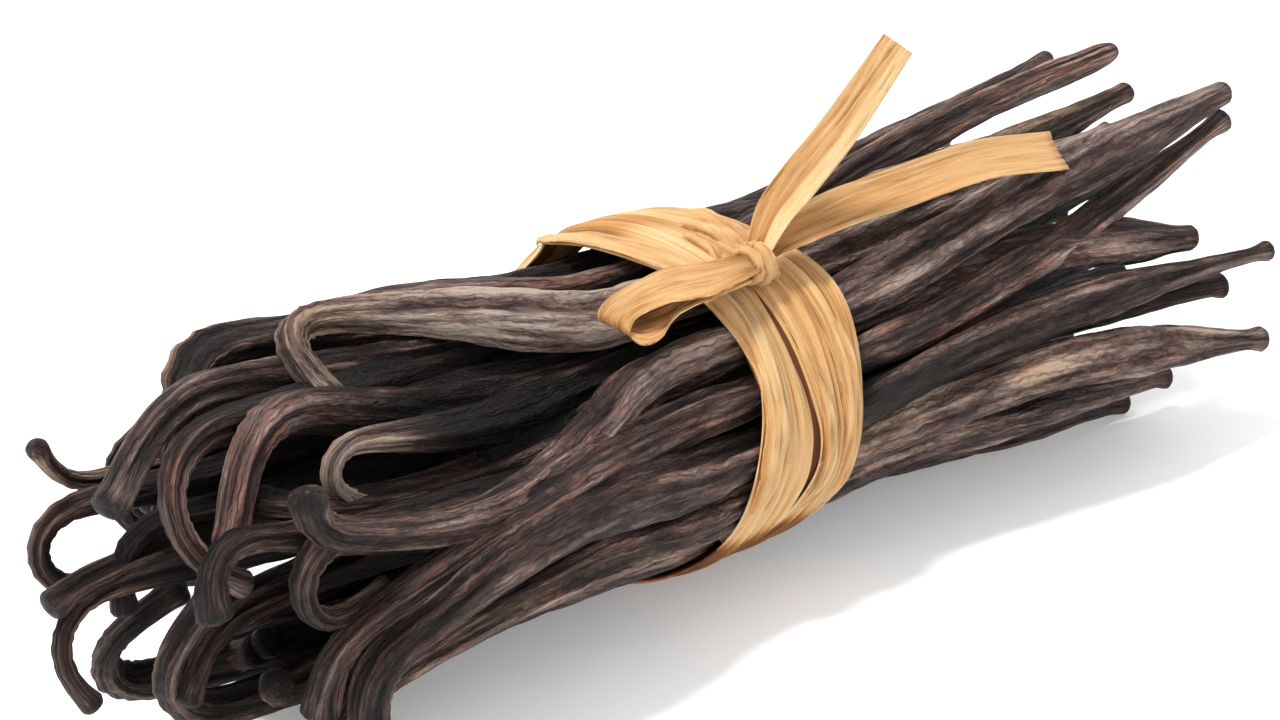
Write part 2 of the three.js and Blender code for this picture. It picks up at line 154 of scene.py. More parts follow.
# The rest fill the back, the underside and the middle, laid by rule with seeded variation.
FILLER_TIES = [
    (3, 7), (3, 8), (3, -5), (3, -6), (3, -7), (3, -8),
    (2, 6), (2, 7), (2, 8), (2, -2), (2, -3),
    (1, 4),
]
FILLER_FLARE = 1.26
FILLER_FAR_FLARE = FILLER_FLARE + 0.05
FILLER_DROP = 1.42
LOWEST_CENTRE = 1.4
# What varies from filler to filler: its middle value, and the most that a draw adds either way.
FILLER_NEAR_X = (-50, 7)
FILLER_FAR_X = (88, 7)
FILLER_SIDE_SHIFT = (0, 2)
FILLER_UP_SHIFT = (0, 1.5)
FILLER_HOOK_UP = (60, 35)
FILLER_HOOK_DOWN = (-70, 30)
FILLER_TURN = (95, 45)
FILLER_HOOK_RADIUS = (6.5, 1.5)
FILLER_TAIL = (4, 2)
FILLER_GIRTH = (POD_GIRTH, 0.3)

# The joined pieces that the named pods go into: where each starts and ends in their list.
POD_PIECES = {"pods_upper": (0, 8), "pods_front": (8, 15), "pods_inner": (15, None)}

# ---- how finely the pods are made ----

PATH_STEP = 0.5
HOOK_STEP = 6
HOOK_STEPS_LEAST = 4
TAIL_STEPS = 10
NEAR_ARM_STEPS = 50
FAR_ARM_STEPS = 60
SMOOTHING_PASSES = 60
TIP_ROUNDING = 1.3
ROD_RADIUS = 3.5
ROD_SIDES = 60
FILLER_SIDES = 44
CAP_INSET = 0.45
LEAST_RADIUS = 0.02
# The range of the pods' twists about their own lines, in radians from end to end.
POD_TWIST = 2.4
POD_SEED_STEP = 17.3
# How the band squeezes the pods: over this length, easing off over the range beside it.
PRESSED_WIDTH = 7
PRESSED_RANGE = 9
PRESSED_BY = 0.14
# The skin puckers where a pod turns by more than this many radians a millimetre.
KNUCKLE_FROM = 0.05
KNUCKLE_RANGE = 0.1
KNUCKLE_PITCH = 1.9
KNUCKLE_HEIGHT = 0.075
KNUCKLE_WANDER = 90
KNUCKLE_WANDER_RATE = 31
# The rod's stretches from its stem end to its tip: length and rings.
ROD_SECTIONS = [(1.2, 5), (44, 62), (120, 82), (19, 26), (1.2, 5)]
FILLER_SECTIONS = [(1.2, 4), (44, 44), (120, 56), (19, 16), (1.2, 4)]


# ---- small helpers ----

def mix(a, b, u):
    return a + (b - a) * u


def smooth(u):
    u = np.clip(u, 0, 1)
    return u * u * (3 - 2 * u)


def draw(seed):
    """A seeded number from 0 to 1."""
    return math.modf(math.sin(seed * 12.9898) * 43758.5453)[0] % 1


def cos(angle):
    return np.cos(np.radians(angle))


def sin(angle):
    return np.sin(np.radians(angle))


def unit(v):
    return v / np.linalg.norm(v, axis=-1, keepdims=True)


def deselect_all():
    bpy.ops.object.select_all(action="DESELECT")


def select_only(piece):
    deselect_all()
    piece.select_set(True)
    bpy.context.view_layer.objects.active = piece


def get_points(mesh):
    co = np.empty(len(mesh.vertices) * 3)
    mesh.vertices.foreach_get("co", co)
    return co.reshape(-1, 3)


def set_points(mesh, co):
    mesh.vertices.foreach_set("co", np.ascontiguousarray(co, float).ravel())
    mesh.update()


def set_vectors(mesh, name, values):
    attribute = mesh.attributes.get(name) or mesh.attributes.new(name, "FLOAT_VECTOR", "POINT")
    attribute.data.foreach_set("vector", np.ascontiguousarray(values, np.float32).ravel())


def set_numbers(mesh, name, values):
    attribute = mesh.attributes.get(name) or mesh.attributes.new(name, "FLOAT", "POINT")
    attribute.data.foreach_set("value", np.ascontiguousarray(values, np.float32).ravel())


def apply_modifiers(piece):
    select_only(piece)
    for modifier in list(piece.modifiers):
        bpy.ops.object.modifier_apply(modifier=modifier.name)


def join(pieces, name):
    deselect_all()
    for piece in pieces:
        piece.select_set(True)
    bpy.context.view_layer.objects.active = pieces[0]
    bpy.ops.object.join()
    pieces[0].name = name
    pieces[0].data.name = name
    return pieces[0]


def shade_smooth(piece):
    select_only(piece)
    bpy.ops.object.shade_smooth()


# ---- centre lines of the pods ----

def spread(u, delay):
    """0 to 1, slowly at first. A larger delay keeps it low for longer."""
    return (1 + delay) * u * u / (u + delay)


def waist_point(angle, scale=1, x=WAIST_X):
    side = -cos(angle)
    reach = WAIST_FRONT if side < 0 else WAIST_BACK
    return np.array([x, scale * reach * side, WAIST_Z + scale * WAIST_HEIGHT * sin(angle)])


def tie_point(tie):
    ring, place = tie
    count, scale, start = RINGS[ring]
    return waist_point(start + 360 * place / count, scale)


def is_outer(pod):
    return pod["tie"][0] == len(RINGS) - 1


def pod_entry(entry):
    plain = dict(sag=(0, 0), far_sag=(0, 0), late=SPREAD_DELAY, stem=POD_STEM,
                 girth=POD_GIRTH, taper=TIP_TAPER, neck=TIP_NECK, bulb=TIP_BULB)
    return {**plain, **entry}


def filler_entry(tie, index):
    """A pod that no one can tell apart from its neighbours."""
    def vary(n, value):
        middle, either_way = value
        return middle + (2 * draw(index * 7 + n) - 1) * either_way

    at = tie_point(tie)

    def end(x, flare):
        rise = at[2] - WAIST_Z
        y = at[1] * flare + vary(3, FILLER_SIDE_SHIFT)
        z = WAIST_Z + rise * (FILLER_DROP if rise < 0 else flare) + vary(4, FILLER_UP_SHIFT)
        return (x, y, max(LOWEST_CENTRE, z))

    near = end(vary(1, FILLER_NEAR_X), FILLER_FLARE)
    toward = vary(5, FILLER_HOOK_UP if near[2] < WAIST_Z else FILLER_HOOK_DOWN)
    hook = (toward, vary(6, FILLER_TURN), vary(7, FILLER_HOOK_RADIUS), vary(8, FILLER_TAIL))
    far = end(vary(2, FILLER_FAR_X), FILLER_FAR_FLARE)
    return dict(tie=tie, near=near, hook=hook, far=far, girth=vary(9, FILLER_GIRTH))


def arm_point(tie, end, sag, delay, start, u):
    away = spread(u, delay)
    bow = math.sin(math.pi * u)
    return np.array([
        mix(start, end[0], u),
        mix(tie[1], end[1], away) + sag[0] * bow,
        mix(tie[2], end[2], away) + sag[1] * bow,
    ])


def pod_arm(tie, end, sag, delay, start, steps):
    """One side of a pod, from the waist to its end."""
    return [arm_point(tie, end, sag, delay, start, i / steps) for i in range(steps + 1)]


def hook_heading(pod, tie):
    """The way the stem goes where its hook starts, over the arm's last coarse step."""
    steps = BODY_STEPS if is_outer(pod) else BURIED_STEPS
    before = 1 - (1 / steps) ** STEP_CROWDING
    start = WAIST_X - WAIST_STRAIGHT
    last = arm_point(tie, pod["near"], pod["sag"], pod["late"], start, 1)
    return unit(last - arm_point(tie, pod["near"], pod["sag"], pod["late"], start, before))


def hook_points(pod, last, ahead):
    """The stem's hook: an arc and then a straight tail."""
    toward, turn, radius, tail = pod["hook"]
    side = np.array([0, -cos(toward), sin(toward)])
    side = unit(side - ahead * (side @ ahead))
    steps = max(HOOK_STEPS_LEAST, math.ceil(turn / HOOK_STEP))
    points = []
    for i in range(1, steps + 1):
        angle = turn * i / steps
        points.append(last + ahead * radius * sin(angle) + side * radius * (1 - cos(angle)))
    leaving = ahead * cos(turn) + side * sin(turn)
    for share in np.linspace(1 / TAIL_STEPS, 1, TAIL_STEPS):
        points.append(points[steps - 1] + leaving * tail * share)
    return points


def distances(path):
    steps = np.linalg.norm(np.diff(path, axis=0), axis=1)
    return np.concatenate([[0], np.cumsum(steps)])


def headings(path):
    return unit(np.gradient(path, axis=0))


def even_points(path, count):
    along = distances(path)
    at = np.linspace(0, along[-1], count)
    return np.stack([np.interp(at, along, path[:, k]) for k in range(3)], axis=1)


def pod_path(pod):
    """The pod's centre line from the stem's end to the blossom tip, its corners rounded."""
    tie = tie_point(pod["tie"])
    near_arm = pod_arm(tie, pod["near"], pod["sag"], pod["late"], WAIST_X - WAIST_STRAIGHT,
                       NEAR_ARM_STEPS)
    far_arm = pod_arm(tie, pod["far"], pod["far_sag"], SPREAD_DELAY, WAIST_X + WAIST_STRAIGHT,
                      FAR_ARM_STEPS)
    hook = hook_points(pod, near_arm[-1], hook_heading(pod, tie))
    path = np.array(hook[::-1] + near_arm[::-1] + far_arm)
    path = even_points(path, int(distances(path)[-1] / PATH_STEP))
    for _ in range(SMOOTHING_PASSES):
        path[1:-1] = (path[:-2] + 2 * path[1:-1] + path[2:]) / 4
    return even_points(path, len(path))


def pod_widths(pod, along):
    """Half the pod's width at each distance from the stem's end."""
    length = along[-1]
    from_stem = mix(pod["stem"], pod["girth"], smooth((along - STEM_FROM) / STEM_TAPER))
    from_tip = mix(pod["neck"], pod["girth"], smooth((length - along) / pod["taper"]))
    knob = STEM_KNOB * np.exp(-(along / KNOB_LENGTH) ** 2)
    bulb = pod["bulb"] * np.exp(-((length - along) / BULB_LENGTH) ** 2)
    return np.minimum(from_stem + knob, from_tip + bulb)


def knuckles(path, along):
    """Small rings that the skin puckers into where the pod is bent hard."""
    bending = np.linalg.norm(np.gradient(headings(path), axis=0), axis=1) / PATH_STEP
    pucker = smooth((bending - KNUCKLE_FROM) / KNUCKLE_RANGE)
    wandering_by = KNUCKLE_WANDER * sin(along * KNUCKLE_WANDER_RATE)
    wave = sin(360 * along / KNUCKLE_PITCH + wandering_by)
    return 1 + KNUCKLE_HEIGHT * pucker * wave


def pressed(pod, path):
    """How much narrower the pod is where the band holds it."""
    ring, place = pod["tie"]
    count, _, start = RINGS[ring]
    beside = np.abs(path[:, 0] - band_x(start + 360 * place / count)) - PRESSED_WIDTH
    return 1 - PRESSED_BY * (1 - smooth(beside / PRESSED_RANGE))


def rounded_ends(along):
    """1 along the pod, falling to 0 as a quarter circle does at both ends."""
    from_end = np.minimum(along, along[-1] - along) / TIP_ROUNDING
    inward = 1 - np.clip(from_end, 0, 1)
    return np.sqrt(np.clip(1 - inward ** 2, 0, 1))


# ---- the rod that every pod is bent from ----

def rod(name, sides, sections):
    """A straight round rod along +X, drawn out of a disc ring by ring."""
    deselect_all()
    bpy.ops.mesh.primitive_circle_add(vertices=sides, radius=ROD_RADIUS * MM, fill_type="NGON",
                                      rotation=(0, math.pi / 2, 0))
    piece = bpy.context.object
    piece.name = name
    bpy.ops.object.transform_apply(rotation=True)
    bpy.ops.object.mode_set(mode="EDIT")
    bpy.ops.mesh.select_all(action="SELECT")
    for length, rings in sections:
        step = (length / rings * MM, 0, 0)
        for _ in range(rings):
            bpy.ops.mesh.extrude_region_move(TRANSFORM_OT_translate={"value": step})
    bpy.ops.mesh.inset(thickness=ROD_RADIUS * CAP_INSET * MM)
    bpy.ops.mesh.select_all(action="SELECT")
    bpy.ops.mesh.normals_make_consistent(inside=False)
    bpy.ops.object.mode_set(mode="OBJECT")
    shade_smooth(piece)
    calm_ends(piece)
    return piece


def calm_ends(piece):
    """Weights that let the furrows fade towards both ends of a rod."""
    group = piece.vertex_groups.new(name="skin")
    along = get_points(piece.data)[:, 0] / MM
    from_end = np.minimum(along, along.max() - along)
    for index, weight in enumerate(mix(CALM_END, 1, smooth(from_end / CALM_LENGTH))):
        group.add([index], float(weight), "REPLACE")


def texture_space(name):
    """An empty whose own axes the furrow textures are read in."""
    deselect_all()
    bpy.ops.object.empty_add()
    space = bpy.context.object
    space.name = name
    return space


def cell_texture(name, size):
    """Rounded cells with sharp creases between them."""
    texture = bpy.data.textures.new(name, "VORONOI")
    texture.distance_metric = "DISTANCE_SQUARED"
    texture.noise_scale = size
    texture.noise_intensity = CELL_CONTRAST


def cloud_texture(name, size):
    texture = bpy.data.textures.new(name, "CLOUDS")
    texture.noise_scale = size
    texture.noise_depth = 1


def displace(piece, texture, space, strength, level, group=""):
    modifier = piece.modifiers.new(texture.name, "DISPLACE")
    modifier.texture = texture
    modifier.texture_coords = "OBJECT"
    modifier.texture_coords_object = space
    modifier.strength = strength * MM
    modifier.mid_level = level
    modifier.vertex_group = group


# The levels of the two kinds of texture that leave a surface where it is.
CLOUD_LEVEL = 0.5
CELL_LEVEL = 0.25
CELL_CONTRAST = 1.6
# How far along, in metres, the textures may be moved from pod to pod.
TEXTURE_SHIFT = 5
# How far along the pods and the strips their materials may be moved, in millimetres.
SKIN_SHIFT = 400
STRAW_SHIFT = 300
# Relief of a cured pod, coarsest first: cell or cloud size, how much longer it is along the pod
# than across it, and its depth.
DENTS = (6, 5, 1.5)
FURROWS = (3.4, 26, 1.1)
RIDGES = (1.4, 18, 0.58)
CREASES = (0.9, 6, 0.26)
# The share of the relief that is left at a pod's ends, and the length over which it fades.
CALM_END = 0.12
CALM_LENGTH = 6
# Where the stem's look gives way to the pod's own, from the stem's end.
STEM_LOOK_FROM = 14
STEM_LOOK_RANGE = 22
# How much darker a pod is at both ends, and along its body for each ring from the middle out.
# The rings' darkening is painted shade, deepest on the pods buried in the middle of the bundle.
END_SHADE = 1.5
END_SHADE_LENGTH = 2.6
RING_PAINTED_SHADE = [1.6, 1.3, 0.7, 0]
# The map for baking: the bare margin along a strip and across it, and what the seam adds.
MAP_END = 0.01
MAP_GAP = 0.02
MAP_SEAM = 0.05


def stretched(space, stretch, seed):
    """Draws a texture out along the pod, and moves it so that no two pods are alike."""
    space.scale = (stretch * MM, MM, MM)
    space.location = (draw(seed) * TEXTURE_SHIFT, draw(seed + 1), draw(seed + 2))
    bpy.context.view_layer.update()


def radial(co):
    return np.hypot(co[:, 1], co[:, 2]) / MM


def wrinkle(piece, space, textures, seed, length):
    """Gives a straight rod its dents and furrows, and keeps their height for its colour."""
    straight = get_points(piece.data)
    shrunk = rounded_ends(straight[:, 0] / straight[:, 0].max() * length)[:, None]
    across = straight / MM * np.hstack([shrunk ** 0, shrunk, shrunk])
    set_vectors(piece.data, "stock", across + [draw(seed + 5) * SKIN_SHIFT, 0, 0])
    for name, (size, stretch, depth) in textures.items():
        stretched(space, stretch, seed + size)
        if name == "dents":
            displace(piece, bpy.data.textures[name], space, depth, CLOUD_LEVEL, "skin")
            apply_modifiers(piece)
            base = radial(get_points(piece.data))
        else:
            displace(piece, bpy.data.textures[name], space, -depth, CELL_LEVEL, "skin")
            apply_modifiers(piece)
    set_numbers(piece.data, "relief", radial(get_points(piece.data)) - base)


def guide_curve(path, radii, tilts):
    data = bpy.data.curves.new("guide", "CURVE")
    data.dimensions = "3D"
    data.twist_mode = "MINIMUM"
    data.use_radius = True
    data.use_stretch = True
    data.use_deform_bounds = True
    line = data.splines.new("POLY")
    line.points.add(len(path) - 1)
    line.points.foreach_set("co", np.column_stack([path * MM, np.ones(len(path))]).ravel())
    line.points.foreach_set("radius", radii)
    line.points.foreach_set("tilt", tilts)
    guide = bpy.data.objects.new("guide", data)
    bpy.context.scene.collection.objects.link(guide)
    return guide


def copy_of(stock, name):
    piece = stock.copy()
    piece.data = stock.data.copy()
    piece.name = name
    bpy.context.scene.collection.objects.link(piece)
    return piece


def make_pod(pod, stock, space, textures, index):
    """One pod: a copy of the straight rod, wrinkled and then bent along its own line."""
    piece = copy_of(stock, f"pod_{index}")
    path = pod_path(pod)
    along = distances(path)
    wrinkle(piece, space, textures, index * POD_SEED_STEP, along[-1])
    widths = pod_widths(pod, along) * knuckles(path, along) * pressed(pod, path)
    radii = widths * rounded_ends(along) / ROD_RADIUS
    turns = (draw(index + 0.3) - 0.5) * POD_TWIST
    tilts = turns * along / along[-1] + draw(index + 0.7) * math.tau
    guide = guide_curve(path - LAYOUT_MIDDLE, np.maximum(radii, LEAST_RADIUS), tilts)
    bend = piece.modifiers.new("bend", "CURVE")
    bend.object = guide
    bend.deform_axis = "POS_X"
    apply_modifiers(piece)
    bpy.data.objects.remove(guide)
    placed = get_points(piece.data)
    placed[:, 2] = np.maximum(placed[:, 2], 0)
    set_points(piece.data, placed)
    from_stem = get_points(stock.data)[:, 0]
    from_stem = from_stem / from_stem.max() * along[-1]
    set_vectors(piece.data, "look", pod_look(pod, from_stem, along[-1], index))
    return piece


def pod_look(pod, from_stem, length, index):
    """How light, red and tan the skin is: from the stem's own look to the pod's, its ends dark."""
    body = pod.get("look") or (draw(index + 0.9), draw(index + 0.1), draw(index + 0.2))
    stem = pod.get("stem_look") or body
    passed = smooth((from_stem - STEM_LOOK_FROM) / STEM_LOOK_RANGE)[:, None]
    look = mix(np.array(stem, float), np.array(body, float), passed)
    from_end = np.minimum(from_stem, length - from_stem)
    look[:, 0] -= END_SHADE * (1 - smooth(from_end / END_SHADE_LENGTH))
    # The inner rings' pods are darker along their bodies: painted shade deep in the bundle.
    look[:, 0] -= RING_PAINTED_SHADE[pod["tie"][0]] * passed[:, 0]
    return look


def lay_bake_map(piece, share, shares):
    """A map of the pod rolled out flat, in its own strip of the map of the joined piece."""
    mesh = piece.data
    places = np.empty(len(mesh.loops) * 2)
    mesh.uv_layers["OFBake"].uv.foreach_get("vector", places)
    places = places.reshape(-1, 2)
    places[:, 1] = (places[:, 1] * (1 - 2 * MAP_GAP) + MAP_GAP + share) / shares
    mesh.uv_layers["OFBake"].uv.foreach_set("vector", places.ravel())


def roll_out(piece):
    """The stock's map: its length across the map and its turn up it."""
    mesh = piece.data
    co = get_points(mesh)
    corner = np.empty(len(mesh.loops), np.int32)
    mesh.loops.foreach_get("vertex_index", corner)
    turn = (np.arctan2(co[:, 2], co[:, 1]) / math.tau) % 1
    turn = turn[corner]
    for face in mesh.polygons:
        loops = np.arange(face.loop_start, face.loop_start + face.loop_total)
        if np.ptp(turn[loops]) > 0.5:
            turn[loops] = np.where(turn[loops] < 0.5, turn[loops] + 1, turn[loops])
    length = co[:, 0].max()
    lengthwise = MAP_END + (1 - 2 * MAP_END) * co[corner, 0] / length
    places = np.column_stack([lengthwise, turn / (1 + MAP_SEAM)])
    layer = mesh.uv_layers.new(name="OFBake")
    layer.uv.foreach_set("vector", places.ravel())


def dress(piece, nodes, material):
    piece.data.materials.clear()
    piece.data.materials.append(material)
    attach(piece, "root")
    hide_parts(*nodes)


# ---- raffia ----

# The band: how far out it lies from the pods' middles, its width and where its middle crosses the
# bundle, and how it stands off them over the top.
BAND_INSIDE = 3.35
BAND_WIDTH = 15
BAND_WIDENING = 2.5
BAND_CENTRE = 4.5
BAND_SLANT = 9.5
BAND_SLANT_AT = 42
BAND_LIFT = 1.9
BAND_LIFT_AT = 108
BAND_LIFT_SPAN = 24
BAND_LIFT_X = 5
BAND_LIFT_REACH = 15
BAND_STEP = 1.5
EDGE_ROLL = 0.35
# Where the band's colour is deeper, as painted shade: under the bundle, but for a rim, and
# over its crest.
UNDERSIDE_FROM = -24
UNDERSIDE_RANGE = 9
UNDERSIDE_DEPTH = 0.95
RIM_FROM = -46
RIM_SHARE = 0.7
RIM_FADE = 0.12
CREST_FROM = 88
CREST_RANGE = 12
CREST_FADE = 0.2

STRIP_STEP = 0.6
STRIP_ROWS = 3.4
STRIP_ROWS_LEAST = 10
STRIP_THICKNESS = 0.28
LINE_STEPS = 20
SOFTENING_PASSES = 10
# Relief of a flat strip: size across it, how much longer it is along the strip, and its depth.
PLEATS = (4.4, 28, 1.15)
FOLDS = (2.6, 38, 0.75)
FIBRES = (0.8, 60, 0.07)

STRIP_RELIEF = {"pleats": PLEATS, "folds": FOLDS, "fibres": FIBRES}

# The band's strands: at angles round the waist, their two edges as shares of the band's width,
# how far out each one lies, its relief, how deep its colour is, and over the crest how deep it is
# and between which shares of the strand. rise is the angle over which a strand lifts off. Deeper
# colour is painted shade, as in the slit between the wide strands and over the crest.
NO_RISE = 0.1
STRAND_ANGLES = [-90, -60, -34, -18, -6, 6, 17, 29, 40, 52, 62, 74, 90, 110, 130, 150, 200, 270]
LEFT_STRAND = dict(
    left=[-.5, -.5, -.5, -.53, -.57, -.57, -.54, -.5, -.47, -.44, -.47, -.64, -.84, -.93, -.42,
          -.35, -.4, -.5],
    right=[0, 0, 0, -.01, 0, -.05, -.11, -.16, -.18, -.17, -.13, -.1, -.1, -.3, -.2, -.15, -.05,
           0],
    level=0.9, relief=1.0, deep=0, crest=(0.6, 0.1, 1.2))
RIGHT_STRAND = dict(
    left=[0, .01, .02, .045, .07, .02, -.055, -.115, -.14, -.14, -.12, -.2, -.25, -.4, -.35, -.25,
          -.1, -.05],
    right=[.52, .56, .58, .53, .44, .4, .39, .43, .5, .55, .54, .5, .46, .28, .3, .35, .45, .5],
    level=0.75, relief=1.0, deep=0, crest=(0.45, -0.5, 0.45))
# In the slit between the wide strands: its deep colour is painted shade in the gap.
SLIT_STRAND = dict(
    left=[-.3] * 7 + [-.35] * 3 + [-.3] * 8,
    right=[.3, .3, .3, .3, .3, .25, .2, .15] + [.1] * 10,
    level=0.1, relief=0.15, deep=1.3, crest=(0, 0, 1))
EDGE_STRAND = dict(
    left=[-.4, -.4, -.4, -.4, -.45, -.48, -.5, -.5, -.52, -.56, -.57, -.6, -.5, -.4, -.4, -.4, -.4,
          -.4],
    right=[-.2] * 18,
    level=0.45, relief=0.5, deep=0.1, crest=(0, 0, 1))
# The pale lip of the left strand, folded over on itself above the waist's front.
LIP_STRAND = dict(
    left=[-.5] * 8 + [-.47, -.45, -.49, -.66, -.86, -.95, -.5, -.4, -.4, -.4],
    right=[-.3] * 8 + [-.28, -.26, -.26, -.36, -.62, -.8, -.42, -.35, -.35, -.35],
    level=1.35, relief=0.5, deep=-0.12, crest=(0, 0, 1), rise=26)

# Folds of the band that gather towards the knot, from it up over the top: angles round the
# waist, both edges as shares of the band's width, and how deep the colour is along their sides,
# which is painted shade where they lie beside each other.
GATHER_LEVEL = 1.45
GATHER_ROLL = 0.8
GATHER_RELIEF = 0.75
GATHER_STEPS = 40
# The shares of a gather's length at which it is all up and starts to go down, and over which its
# dark sides, painted shade, come and go.
GATHER_UP = 0.3
GATHER_DOWN = 0.6
GATHER_DARK_UP = 0.35
GATHER_DARK_DOWN = 0.5
GATHER_SIDE_FROM = 0.6
GATHER_SIDE_FADE = 0.35
GATHERS = [
    dict(angles=[68, 80, 92, 106], left=[.12, .1, .17, .12], right=[.42, .46, .45, .33], side=0.1),
    dict(angles=[74, 80, 86, 96], left=[.0, .03, .0, -.06], right=[.16, .2, .15, .06], side=1.0),
    dict(angles=[69, 74, 80, 90], left=[-.22, -.2, -.18, -.2], right=[-.1, -.05, -.05, -.08],
         side=0.95),
    dict(angles=[-36, -18, 0, 17, 34, 50], left=[.07, .09, .08, -.01, -.08, -.1],
         right=[.13, .2, .2, .11, .01, -.05], side=0.5),
    dict(angles=[-32, -20, -8, 10, 30, 50], left=[-.42, -.47, -.54, -.55, -.5, -.45],
         right=[-.37, -.34, -.3, -.31, -.34, -.37], side=0.45),
    dict(angles=[-38, -24, -8, 10, 30, 56], left=[.33, .31, .26, .2, .19, .22],
         right=[.54, .5, .45, .39, .4, .42], side=0.5),
]

KNOT_MIDDLE = np.array([12.3, -13.2, 44.1])
KNOT_TILT = 25
KNOT_RELIEF = 0.6
KNOT_ROLL = 0.6
# The knot's turns are darker at their edges: painted shade between the turns.
KNOT_EDGE_DEPTH = 0.8
KNOT_FROM = -110
KNOT_TO = 255
KNOT_STEPS = 60
KNOT_PINCH = 0.2
# Each turn of the knot: place along the bundle, half height, half width, lean and ribbon width.
KNOT_WRAPS = [(-1.3, 2.2, 2.5, 0.5, 2.2), (1.2, 2.3, 2.7, -0.5, 2.1), (0, 2.6, 3, 0.3, 1.8)]

# The loop's two edges, from the knot out along its upper run, round and back underneath.
LOOP_FAR_EDGE = [
    (11.9, -13.2, 44.9), (6.7, -13.7, 46.2), (2.7, -13.3, 46.6), (-1.4, -12, 46.6),
    (-5.3, -11.9, 46.3), (-9.8, -12.2, 45.7), (-12.7, -12.9, 44.8), (-11.8, -12.9, 43.3),
    (-7.4, -12.8, 42.9), (-2.4, -13, 43.1), (4.1, -12.8, 43.4), (12, -12.8, 43.6),
]
LOOP_NEAR_EDGE = [
    (10.6, -15.9, 44.1), (5.5, -17.6, 44.7), (1.1, -18.4, 44.9), (-2.4, -18, 45.1),
    (-4.8, -17.2, 45), (-7.4, -16.4, 44.6), (-9.7, -16.2, 43.9), (-10.6, -17.1, 42.9),
    (-9.9, -18.3, 42), (-7, -18.2, 41.8), (-1.7, -15.7, 42.7), (11, -15, 43.2),
]
RISING_TAIL = [
    (12.4, -12.8, 44.8), (16.5, -11.4, 49), (20.6, -11.5, 52.6), (25.3, -13.3, 58.6),
    (28.9, -15.3, 64.9), (31.7, -17, 70.2),
]
RISING_WIDTHS = [3, 4.8, 5.4, 5.2, 4.8, 4.4]
RISING_FACING = (-0.55, -0.7, 0.46)
LYING_TAIL = [
    (12.4, -12.9, 44.3), (18, -12.3, 45.8), (26.7, -13, 47.3), (36.4, -14, 48), (50, -15, 48.6),
    (64.3, -16, 46.8),
]
LYING_WIDTHS = [2.8, 4.8, 5.6, 5.8, 6, 6.2]
LYING_FACING = (-0.2, -0.6, 0.77)

LOOP_ROLL = 0.2
LOOP_RELIEF = 0.6
TAIL_RELIEF = 0.35
# The rising tail's fold: its height, how much of that is lost along the tail and how soon, how much
# of it the near side takes part in, its crease, and how deep the colour is on its two sides:
# painted shade on the near side and painted light on the side that is folded up.
RISING_FOLD = 1.7
RISING_FOLD_FADE = 0.8
RISING_FOLD_RATE = 1.3
RISING_NEAR_SHARE = 0.4
RISING_CREASE = 0.55
RISING_DEPTHS = (0.34, -0.12)
RISING_DEPTH_FADE = 0.7
# A darker line along the crease, painted shade in it.
CREASE_LINE = 0.05
CREASE_LINE_DEPTH = 0.5
CREASE_FADE = 0.1
LYING_EDGE = 1.5
LYING_EDGE_FADE = 0.75
# Colour of the lying tail's channel and of the lines along it, by their shares across: painted
# shade inside the channel and beside its raised edges.
CHANNEL_SIDES = (0.15, 0.88)
CHANNEL_FADE = 0.1
CHANNEL_DEPTH = 0.3
CHANNEL_LINES = (0.2, 0.82)
CHANNEL_LINE_DEPTH = 0.35
CHANNEL_LOSS = 0.85
CHANNEL_LOSS_BY = 0.9
# Colour inside the loop, painted shade there: where along it and how far, up to which share
# across, and how deep.
LOOP_INSIDE_AT = 0.72
LOOP_INSIDE_RANGE = 0.14
LOOP_RIM_FROM = 0.62
LOOP_RIM_FADE = 0.3
LOOP_INSIDE_DEPTH = 0.62
LOOP_DEPTH = 0.16


def smooth_line(points):
    """A smooth curve through the given points, in even steps from each to the next."""
    points = np.array(points, float)
    ends = [2 * points[0] - points[1], *points, 2 * points[-1] - points[-2]]
    out = []
    for a, b, c, d in zip(ends, ends[1:], ends[2:], ends[3:]):
        for u in np.linspace(0, 1, LINE_STEPS, endpoint=False):
            out.append(0.5 * (2 * b + (c - a) * u + (2 * a - 5 * b + 4 * c - d) * u ** 2
                              + (3 * b - 3 * c + d - a) * u ** 3))
    return np.array(out + [points[-1]])


def carried_normals(path, facing):
    """Normals that follow a path without spinning about it, from a first one."""
    normal = np.array(facing, float)
    out = []
    for ahead in headings(path):
        normal = unit(normal - ahead * (normal @ ahead))
        out.append(normal)
    return np.array(out)


def strip(name, length, width, space, seed, relief=1.0):
    """A flat ribbon along +X, pleated and creased along its length, with its thickness."""
    deselect_all()
    rows = max(STRIP_ROWS_LEAST, int(width * STRIP_ROWS))
    bpy.ops.mesh.primitive_grid_add(
        x_subdivisions=int(length / STRIP_STEP), y_subdivisions=rows, size=1,
        location=(length / 2 * MM, 0, 0), scale=(length * MM, width * MM, 1))
    piece = bpy.context.object
    piece.name = name
    bpy.ops.object.transform_apply(location=True, scale=True)
    flat = get_points(piece.data) / MM
    set_vectors(piece.data, "stock", flat + [draw(seed) * STRAW_SHIFT, 0, 0])
    for label, (size, stretch, depth) in STRIP_RELIEF.items():
        stretched(space, stretch, seed + size)
        level = CLOUD_LEVEL if label == "pleats" else CELL_LEVEL
        displace(piece, bpy.data.textures[label], space, -depth * relief, level)
        apply_modifiers(piece)
    set_numbers(piece.data, "relief", get_points(piece.data)[:, 2] / MM)
    set_numbers(piece.data, "tone", np.full(len(piece.data.vertices), draw(seed + 0.5)))
    solidify = piece.modifiers.new("thickness", "SOLIDIFY")
    solidify.thickness = STRIP_THICKNESS * MM
    solidify.offset = 0
    apply_modifiers(piece)
    return piece


